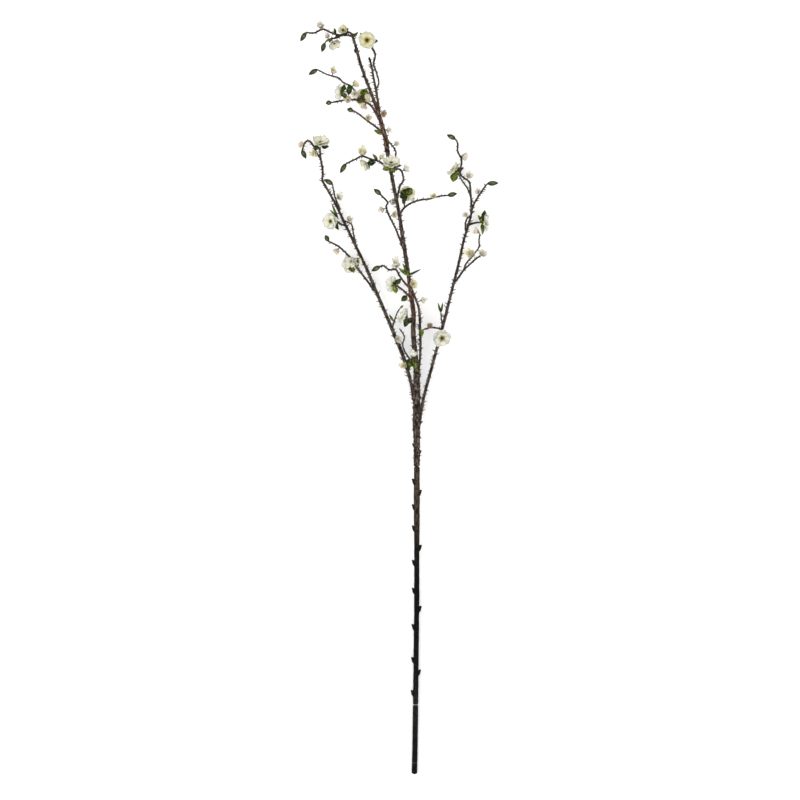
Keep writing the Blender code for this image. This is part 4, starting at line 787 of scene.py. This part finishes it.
def small_blossom(paths, x, y, size, tone, seed, rise):
    """Half-open blossom on a short stalk from the nearest of the paths: five ruffled petals round four
    steeper ones. Returns the cloth, the green foot and the stalk."""
    rng = np.random.default_rng(seed)
    start = near(np.vstack(paths), x, y)
    centre = np.array((x, y, start[2] + rise))
    away = centre - start
    away = unit(away) if np.linalg.norm(away) > 1 else np.array((0, 0, 1.0))
    heart = start + away * max(np.linalg.norm(centre - start) - size * 0.3, 1.6)
    axis = unit(away + np.array((0, 0, 0.5)) + rng.normal(0, 0.3, 3))
    line = np.linspace(start - away * 0.5, heart - axis * 0.5, 5)
    stalk = bar(line, (0.85, 0.7), 8, 0.1, 2.0, seed, 0.5)
    foot = [turned(heart - axis * size * 0.24, heart + axis * 0.5, [(0.3, 0.1), (0.75, 0.15)], size, 10, 7,
                   tone=0.5)]
    eye = turned(heart, heart + axis * size * 0.2, [(0.3, 0.11), (0.8, 0.09)], size, 10, 6, 5, 0.15,
                 tone=tone)
    eye[3][:, 1] = 0.0
    cloth = [eye]
    for count, reach, width, lift, offset in ((5, 0.62, 0.66, rng.uniform(22, 42), 0),
                                              (4, 0.46, 0.52, rng.uniform(46, 60), 0.05)):
        for k in range(count):
            cloth.append(petal(heart + axis * offset * size, axis,
                               360 / count * k + 50 * offset + rng.uniform(-12, 12),
                               size * reach * rng.uniform(0.8, 1.12), size * width,
                               lift + rng.uniform(-12, 12), 0.3, tone, rng, 0.4, 9, 9, 2.2))
    for k in range(3):
        first, second, out = square_frame(axis, 120 * k + 40)
        root = heart - out * size * 0.08
        tip = root + first * size * 0.36 + out * size * 0.12
        foot.append(leaf(root, tip, size * 0.27, out, -0.2, 0.1, 0.5, seed + k, 0.35, 7, 5))
    return cloth, foot, stalk


print("a thorny test line has", len(thorny(TRUNK[:40], (3, 3), 1)) - 1, "thorns")

# %% [markdown]
# ## Limbs and sprays
#
# Every limb or spray is one list of lines with what grows on them. The bark of a limb, its thorns and its
# side twigs are bars of the same skin, so they become one piece; buds, small blossoms and leaves become
# a piece each, because their finishes differ.

# %% Build one limb
def twig(plan, heights, radii=(1.6, 1.35), into=None):
    """The line of a twig and its radii. It can end inside the cup of a blossom."""
    points = along(plan, heights)
    if into:
        points = np.vstack([points, cup_back(into, 3.4), cup_back(into, -1.0)])
    return curve(points, 1.3), radii


def grow(name, lines, buds, blossoms, leaves, seed, extra=(), rise=1.5):
    """Makes all pieces of a limb from its lines, bud tips, small blossoms and loose leaves."""
    skin, cloth, green = [], [], []
    for number, (path, radii) in enumerate(lines):
        skin += thorny(path, radii, seed * 31 + number, blossoms)
        if number:  # a collar where a side twig leaves
            ahead = unit(path[3] - path[0])
            collar = path[0] + ahead * 1.2
            skin.append(turned(collar - ahead * 2.2, collar + ahead * 2.6, [(0.3, 1.5), (0.7, 1.3)], radii[0],
                               10, 7, tone=0.7))
    tips = [tip_bud(lines[number][0][-1], x, y) for number, x, y in buds]
    paths = [path[2:] for path, _ in lines]
    for number, blossom in enumerate(blossoms):
        made, foot, stalk = small_blossom(paths, *blossom, seed * 17 + number, rise)
        cloth += made
        green += foot
        skin.append(stalk)
    for number, (root, tip, width, tone) in enumerate(leaves):
        green.append(leaf(root, tip, width, tone=tone, seed=seed + number))
    piece("bark_" + name, [*skin, *extra], bark, "bark", name)
    for label, shells, material, slot in (("buds_", tips, bud_green, "leaves"),
                                          ("blossoms_", cloth, small_cloth, "petals"),
                                          ("greens_", green, leaf_cloth, "leaves")):
        if shells:
            piece(label + name, shells, material, slot)


# %% The centre branch
CROWN = curve(along([(0.5, 486), (0, 515), (0.8, 548), (0.4, 580)], (19, 22)), 1.6)
centre_lines = [
    (TRUNK, CENTRE_RADII), (FORK_L, (2.7, 2.3, 2.2, 2.3, 1.8)), (FORK_R, (2.0, 1.7, 1.5)),
    (TWIN_LINE, (1.4, 1.9, 1.9, 1.5)), (CROWN, (2.0, 3.4, 3.6, 1.6)),
    twig([(-62.2, 1053.6), (-57.9, 1066), (-61.8, 1082), (-66.2, 1095), (-64, 1112)], (46, 49, 46),
         (1.15, 1.15, 1.6, 1.6, 1.2), "tip"),
    twig([(-100.6, 1142.5), (-106.1, 1146)], (45, 46.5), into="tip_bud"),
    twig([(-29.6, 877), (-24, 900), (-18.6, 910), (-23.2, 926)], (36.5, 43, 49), into="mid_top"),
    twig([(-44, 973), (-36.8, 965), (-30.6, 955), (-31.4, 947)], (42.5, 46, 46.5), (1.3, 1.1)),
    twig([(-7.2, 723), (-13, 728), (-19, 734)], (29, 32), into="centre_low"),
    twig([(-2.6, 685), (-4, 690)], (28, 33), into="centre_front"),
    twig([(0, 610), (-3, 616)], (24.5, 35), into="trunk_bud"),
    twig([(-6, 724), (-11, 728), (-14.5, 723)], (29.5, 31.5), (1.3, 1.1)),
]
scars = []  # worn knots on the crown, and one burl on the left fork
for y, side in ((486, -1), (475, 1), (510, -1), (524, -1), (546, -1), (562, 1), (598, 1)):
    line = [near(TRUNK, 3, y) + np.array((side * (4.2 + away), dy, 0.4))
            for dy, away in ((-5, -0.4), (-2, 0.4), (1, 1.6), (2.6, 3.0))]
    scars.append(bar(curve(line, 0.8), (0.8, 1.7, 1.8, 0.7), 12, 0.08, 2.0, y, 0.5))
burl = near(FORK_L, -93, 1116.5)
scars.append(turned(burl - (1.5, 4.5, 0), burl - (3.2, -3.5, 0), [(0.3, 2.6), (0.7, 2.4)], 1, 12, 9, 3, 0.12,
                    tone=0.2))
grow("centre_branch", centre_lines, (),
     [(-41.5, 990.5, 10, PINK), (-48.5, 1016, 9, TAN), (-29.4, 968.2, 8, PINK), (-14, 928, 11.5, CREAM),
      (-1, 744.5, 11.5, YELLOW), (13, 719, 9, CREAM)],
     [((-2.5, 690, 27.5), (-17, 679, 25.5), 8, 0.1), ((-12.5, 724.5, 31.5), (-22, 716.5, 31), 9.5, 0.1),
      ((-51, 983, 43.3), (-66, 990, 45.5), 6.5, 0.4), ((-99, 1138, 45), (-91, 1146, 47.5), 5, 0.1)], 5, scars)

# %% The left branch
left_lines = [
    (LEFT_LINE, (2.3, 2.85, 2.5, 2.2, 1.85, 1.5)),
    twig([(-151.6, 950), (-151.9, 957)], (17.5, 18.5), (1.5, 1.2), "left_tip"),
    twig([(-111.8, 838), (-118.4, 840)], (16.5, 16), into="left_upper"),
    twig([(-121.6, 861.6), (-121.6, 868), (-127, 880), (-130, 892), (-132.2, 904)], (17, 23, 21), (1.4, 1.1)),
    twig([(-94.7, 806), (-98.7, 825.6), (-101.3, 839), (-112, 845.4)], (16.5, 22, 17), (1.3, 1.1)),
    twig([(-36, 668), (-34.6, 680), (-28.5, 698), (-24, 705)], (17, 19, 18), (1.3, 0.9)),
    twig([(-10.2, 606), (-7.8, 621), (-16.3, 636), (-19.6, 648), (-17, 660), (-24.8, 672.6)], (19, 27, 21),
         (1.4, 1.0)),
]
low_twig = left_lines[5][0]
grow("left_branch", left_lines, [(3, -145.5, 911.5)],
     [(-120, 883, 12, CREAM), (-105.5, 849, 9.5, CREAM), (-27.5, 656, 11, CREAM), (-17, 613, 10.5, YELLOW)],
     [((-122.4, 847, 24), (-134, 875, 21), 3.8, 0.4), ((-124.5, 850, 24), (-137, 863.5, 24), 3.4, 0.3),
      (low_twig[-1], (-18.5, 710, 18), 3.5, 0.5), (near(low_twig, -34, 684), (-41.5, 696, 20), 4, 0.6)], 11)

# %% The right branch
right_lines = [
    (RIGHT_LINE, (2.2, 2.25, 2.3, 2.1, 1.9, 1.2)),
    twig([(82.5, 829), (84.6, 837), (91.2, 840.5), (96, 842)], (15.8, 15.6), into="right_floor"),
    twig([(39, 650), (41.3, 657)], (16.5, 20), into="right_front"),
    twig([(43.7, 672), (31.5, 674), (23.7, 674), (13, 671)], (16.5, 22, 22), (1.4, 1.1)),
    twig([(88.5, 853), (83.6, 849), (80.6, 841), (80.6, 829)], (17, 21, 16), (1.3, 1.1)),
    twig([(44.2, 676), (42.6, 686), (41.3, 698)], (17, 19.5), (1.3, 0.9)),
]
fork_end = right_lines[5][0][-1]
beside_twin = near(TWIN_LINE, 8.1, 672) + (1.2, 0, 1.2)
grow("right_branch", right_lines, [(0, 133.8, 905.8)],
     [(23.7, 676, 9, TAN), (100.5, 892, 8.5, PINK), (79.5, 857, 9, CREAM)],
     [(fork_end, (36.5, 715, 21), 3.5, 0.1), (fork_end, (44.5, 715, 20), 3.5, 0.1),
      (beside_twin, (11.5, 660.5, 28.6), 8.5, 0.75)], 17, rise=3)

# %% [markdown]
# ## The long side twigs
#
# A spray starts inside the limb that carries it and is drawn from there outward. Lines after the first
# start on the first line, at the place nearest to their first point, so that they can't come loose when
# the first line moves.

# %% Sprays
def spray(name, lines, buds, blossoms, leaves, seed, rise=1.5):
    """Grows a side spray from its lines in plan with their heights. A side line may name the blossom that
    it ends in, and is then a little thinner."""
    made = [twig(*lines[0])]
    for plan, heights, *into in lines[1:]:
        x, y, z = near(made[0][0], *plan[0])
        made.append(twig([(x, y), *plan[1:]], (z, *heights[1:]), (1.1, 1.0) if into else (1.3, 1.1), *into))
    grow("spray_" + name, made, buds, blossoms, leaves, seed, rise=rise)


spray("tip", [([(-98.6, 1139), (-107.7, 1141), (-118.4, 1141.3), (-127.2, 1142.7), (-137.1, 1146.6),
                (-147.7, 1151), (-160.6, 1145), (-173.9, 1145.4)], (45, 43, 41, 41)),
              ([(-121, 1140.4), (-129, 1136.5), (-139.5, 1134), (-144.2, 1128.6)], (42.6, 40, 39)),
              ([(-118, 1141), (-123, 1137)], (43, 43.5), "tip_left")],
      [(0, -183.2, 1131.2), (1, -149, 1114.4)], [(-151, 1156.5, 11.5, PINK), (-140.5, 1140.5, 9, PINK)],
      [((-128, 1143, 42), (-128.5, 1153, 42), 5, 0.1)], 23)
spray("upper", [([(-58, 1006), (-62.9, 1017), (-71.8, 1030), (-84.8, 1036), (-99.5, 1038.4), (-114.2, 1037.6),
                  (-134.2, 1034)], (44, 44.5, 42, 34, 30)),
                ([(-89, 1037), (-95.2, 1050), (-102.9, 1060), (-114.7, 1065), (-122.4, 1073), (-139.5, 1078),
                  (-156, 1086.3)], (43, 45.5, 50, 44, 41)),
                ([(-94, 1048), (-105, 1053)], (44.8, 47), "upper_far"),
                ([(-80, 1034.5), (-82, 1038.5)], (43.2, 43.2), "upper_near")],
      [(0, -143, 1033), (1, -170.2, 1078)],
      [(-130.6, 1085, 11, YELLOW), (-95, 1064, 10.5, YELLOW), (-106.5, 1038, 11, PEACH),
       (-81, 1026.5, 9, PEACH), (-97, 1047, 11, CREAM), (-76, 1041, 10.5, YELLOW)],
      [((-104, 1061, 50), (-106.5, 1044.5, 50.5), 9.5, 0.05)], 29)
spray("side", [([(-50.4, 985), (-59.5, 992), (-66.9, 998), (-79.2, 1007), (-92.3, 1017), (-99.8, 1021)],
                (43, 40, 38))],
      [(0, -108.5, 1023)], [(-74, 1010.5, 9, YELLOW)], (), 31)
spray("mid", [([(-38.8, 925), (-45.6, 931), (-57.4, 939.5), (-69.6, 943), (-84.8, 948), (-94.7, 943.5),
                (-110.2, 936)], (40, 41, 38, 36)),
              ([(-66, 942.4), (-72, 940)], (41, 41.5), "mid_left")],
      [(0, -119.7, 921)], [(-84, 955, 14, YELLOW), (-54, 947, 9, YELLOW)],
      [((-60, 940.5, 40.6), (-68, 952, 43), 5, 0.3)], 37)
spray("low", [([(-15.8, 792), (-20.3, 805), (-30.9, 832), (-43, 856.5), (-45.8, 869), (-43.8, 874.6),
                (-55, 887)], (33, 30, 27, 26))],
      [(0, -65.9, 896)], [(-36, 877.5, 10.5, CREAM), (-53.5, 863, 9.5, PINK), (-33.5, 855, 9.5, YELLOW)], (),
      41, -1.5)
spray("right", [([(-25.5, 851), (-19.4, 863), (-8, 872), (8.3, 878), (22.2, 879.4), (39.7, 884),
                  (52.5, 885.4)], (36.5, 43, 42, 40)),
                ([(-17, 866), (-17.5, 876)], (42.5, 41.8), "mid_down")],
      [(0, 67.2, 888.3)], [(-4.5, 879.5, 8, CREAM), (29.6, 885.5, 9, YELLOW)], (), 43)
spray("inner", [([(-8.8, 738), (-16.6, 746), (-24.5, 757), (-30.9, 767), (-41.6, 767), (-50.9, 773.4),
                  (-56, 772)], (30, 26, 24, 24))],
      [(0, -69.8, 764.5)], [(-28.5, 775, 13, CREAM)], (), 47)
spray("left", [([(-66, 733), (-72.6, 744), (-85.4, 760.6), (-91.5, 768), (-100.8, 783), (-108, 791),
                 (-122.2, 804), (-139.5, 813)], (16, 23, 31, 27, 22)),
               ([(-86.5, 762), (-90, 768)], (24.8, 24), "left_floor")],
      [(0, -143.5, 822.5)], [(-125, 796.5, 10.5, PEACH), (-103, 779, 15, CREAM), (-94.5, 777.5, 11, CREAM)],
      [((-92.5, 770, 30.5), (-91.5, 785.5, 33), 5, 0.7)], 53)
spray("left_tip", [([(-151.2, 945), (-158, 955), (-162.9, 966), (-169.6, 973.4), (-176.3, 970.6),
                     (-180.8, 958.4)], (17, 17, 16, 15))],
      [(0, -174.6, 944.8)], [(-181, 967, 10, PEACH), (-162, 953, 11, YELLOW)], (), 59)
spray("fork", [([(89.6, 858), (90.2, 874), (88.9, 890), (87, 907), (77.8, 914), (72, 922), (74.6, 942),
                 (68.3, 956), (68.3, 969), (64.5, 976)], (17, 19, 24, 25, 23)),
               ([(88.6, 883), (83.8, 897), (75, 910)], (18.8, 19.5), "right_upper")],
      [(0, 50.7, 983)], [(79, 949.5, 12, CREAM), (87, 919, 11, CREAM)], (), 61)
spray("right_low", [([(62.4, 745), (68.6, 753), (78.6, 767), (87.2, 775), (97.1, 784), (104.3, 789)],
                     (16, 19, 18)),
                    ([(77.5, 765.5), (82.1, 777), (91.2, 788), (102.4, 803), (102.2, 813), (104, 824)],
                     (17.5, 21, 20))],
      [], [(88, 794, 14, YELLOW), (109.5, 794, 11.5, CREAM), (99, 829.5, 10, PEACH)], (), 67)

# %% [markdown]
# ## A few leaves on their own
#
# Three narrow leaves stand together on the middle limb, one of them thin and curved like a claw.

# %% The group of leaves
seat = np.array((-10.2, 757, near(TRUNK, -10.2, 757)[2] + 2.6))
group = [turned(seat - (0, 2.4, 0.8), seat + (0, 2.4, 0.6), [(0.3, 1.1), (0.7, 1.1)], 1, 10, 7, tone=0.6)]
for number, (x, y, rise, width) in enumerate(((-27, 770, 0, 5.5), (-19.8, 777, 2, 5), (10, 767.5, 2, 3.6))):
    group.append(leaf(seat, (x, y, seat[2] + rise + 1), width, tone=0.6 - 0.25 * number, seed=number + 5))
piece("leaves_group", group, leaf_cloth, "leaves", "leaf_group")

# %% [markdown]
# ## The stem
#
# The stem is moulded plastic over wire, sold in lengths that plug together. Its foot is smooth and nearly
# black with one groove. The middle length is a little lumpy, with worn bud knots that point up the
# stem. At each joint two dark rounded shoulders meet in a groove, and a pale ring of the pin shows in the
# lower one.

# %% Stem lengths
STEM_RADIUS, FOOT_JOINT_Y, TOP_JOINT_Y = 4.4, 69.8, 452.0
PIN_RADIUS, STEM_STEP = 2.3, 1.2


def stem_line(y):
    """Middle line of the stem: level over the resting flat, then a slow rise of 3 in 100."""
    level = STEM_RADIUS - 0.35
    z = level + np.where(y < -15, 0.03 * (-15 - y), 0.03 * np.maximum(0, y - 15))
    return np.column_stack([np.interp(y, (-40, 0, 70, 240, 452), (-0.9, 0, 0.9, 2.9, 2.9)), y, z])


def stem_length(y_from, y_to, radius_of, rough, seed):
    """A length of stem: its radius is a function of y, times a ripple. What would reach below the table is
    pressed flat onto it."""
    y = np.arange(y_from, y_to + STEM_STEP / 2, STEM_STEP)
    made = bar(stem_line(y), radius_of(y), 40, rough, 14.0, seed)
    made[0][:, 2] = np.maximum(made[0][:, 2], 0.0)
    return made


def plain(y_from, y_to, radii, sides=32, count=4, tone=0.0):
    """A smooth round length on the stem's line, for a pin or a ring."""
    return bar(stem_line(np.linspace(y_from, y_to, count)), radii, sides, tone=tone)


def ease(past, length):
    """From 0 to 1 over a length past some place, as a square."""
    return np.clip(past / length, 0, 1) ** 2


def foot_radius(y):
    """The foot: a narrow groove, a shoulder at the joint and a slightly rounded cut end."""
    groove = 0.4 * np.exp(-((y + 23) / 0.9) ** 2)
    shoulder, end = 0.8 * ease(y - FOOT_JOINT_Y + 2.2, 2.0), 0.25 * ease(-39.2 - y, 0.8)
    return STEM_RADIUS + 0.1 * np.clip(-y / 20, 0, 1) - groove - shoulder - end


def middle_radius(y):
    """The middle length: a shoulder at each end, thicker towards the crown, and slow waves."""
    shoulders = 0.9 * ease(FOOT_JOINT_Y + 2.9 - y, 2.2) + 0.8 * ease(y - TOP_JOINT_Y + 2.8, 2.2)
    thicker = 0.55 * np.clip((y - 330) / 40, 0, 1)
    return STEM_RADIUS - 0.1 + thicker - shoulders + 0.12 * np.sin(y / 9.0) * np.sin(y / 31.0 + 1)


def knot(y, out):
    """Worn bud knot: a ramp of plastic that climbs out of the stem and ends in a blunt round head."""
    centre, out = stem_line(np.array([float(y)]))[0], unit(out)
    line = [centre + np.array((0, dy, 0)) + out * (STEM_RADIUS + away)
            for dy, away in ((-8.5, -1.7), (-4.8, -0.6), (-1.4, 0.6), (1.2, 1.9))]
    head = line[3] - np.array((0, 1.8, 0)) - out * 0.7, line[3] + np.array((0, 1.6, 0)) + out * 1.2
    return [bar(curve(line, 0.9), (1.2, 2.3, 2.8, 2.5, 1.7), 16, 0.07, 3.0, y, 0.5),
            turned(*head, [(0.3, 1.9), (0.7, 1.8)], 1, 16, 9, tone=0.5)]


foot = [stem_length(-40, FOOT_JOINT_Y - 0.4, foot_radius, 0.004, 2),
        plain(FOOT_JOINT_Y - 6, FOOT_JOINT_Y + 15, (PIN_RADIUS, PIN_RADIUS), 24, 12),
        plain(FOOT_JOINT_Y - 0.7, FOOT_JOINT_Y + 1.1, (3.4, 3.6, 3.4), tone=1.0),
        plain(-23.6, -22.4, (4.05, 4.25, 4.05), tone=0.9)]
piece("stem_foot_skin", foot, stem_skin, "stem", "stem_foot")
middle = [stem_length(FOOT_JOINT_Y + 0.95, TOP_JOINT_Y - 0.7, middle_radius, 0.035, 3)]
for out, places in (((-1, 0, 0.15), (91, 144, 197, 255, 300, 355, 389, 430)),
                    ((1, 0, 0.15), (124, 226, 324, 412)), ((0.1, 0, 1), (383,))):
    for y in places:
        middle += knot(y, out)
middle.append(plain(TOP_JOINT_Y - 6, TOP_JOINT_Y + 14, (PIN_RADIUS, PIN_RADIUS), 24, 12))
piece("stem_middle_skin", middle, stem_skin, "stem", "stem_middle")

# %% [markdown]
# ## Table and light
#
# The photograph is a cut-out on white, lit softly from the left. A pale table takes the branch, a bright
# even sky fills all shadows, and a wide lamp from the left gives the stem its lighter side. A faint one
# from the right keeps the other side from going black.

# %% Table and light
half = 6.0  # metres from the middle of the table to its edge
table = bpy.data.meshes.new("table")
corners = [(-half, -half, 0), (half, -half, 0), (half, half, 0), (-half, half, 0)]
table.from_pydata(corners, [], [(0, 1, 2, 3)])
table_top = bpy.data.objects.new("table_top", table)
table_top.location.z = -0.0002
bpy.context.scene.collection.objects.link(table_top)
paper, _ = finish("pale_table", 0.9, Base_Color=(0.98, 0.98, 0.98, 1), Emission_Color=(1, 1, 1, 1),
                  Emission_Strength=0.07)  # paper lit through from below keeps shadows faint
table.materials.append(paper)

world = bpy.data.worlds.new("sky")
world.use_nodes = True
sky = world.node_tree.nodes["Background"].inputs
sky["Color"].default_value = (1, 1, 1, 1)
sky["Strength"].default_value = 1.2
bpy.context.scene.world = world


def lamp(name, place, power):
    """A square lamp, 2 m across, that faces the middle of the twigs."""
    data = bpy.data.lights.new(name, "AREA")
    data.size = 2.0
    data.energy = power
    made = bpy.data.objects.new(name, data)
    made.location = place
    x, y, z = np.array((-0.02, 0.6, 0.03)) - np.array(place)
    made.rotation_euler = (math.atan2(math.hypot(x, y), -z), 0, math.atan2(x, -y) + math.pi)
    bpy.context.scene.collection.objects.link(made)


lamp("key", (-1.9, 1.1, 2.8), 20)
lamp("fill", (1.8, -0.6, 2.4), 5)
bpy.context.scene.view_settings.view_transform = "Standard"
bpy.context.scene.view_settings.look = "None"
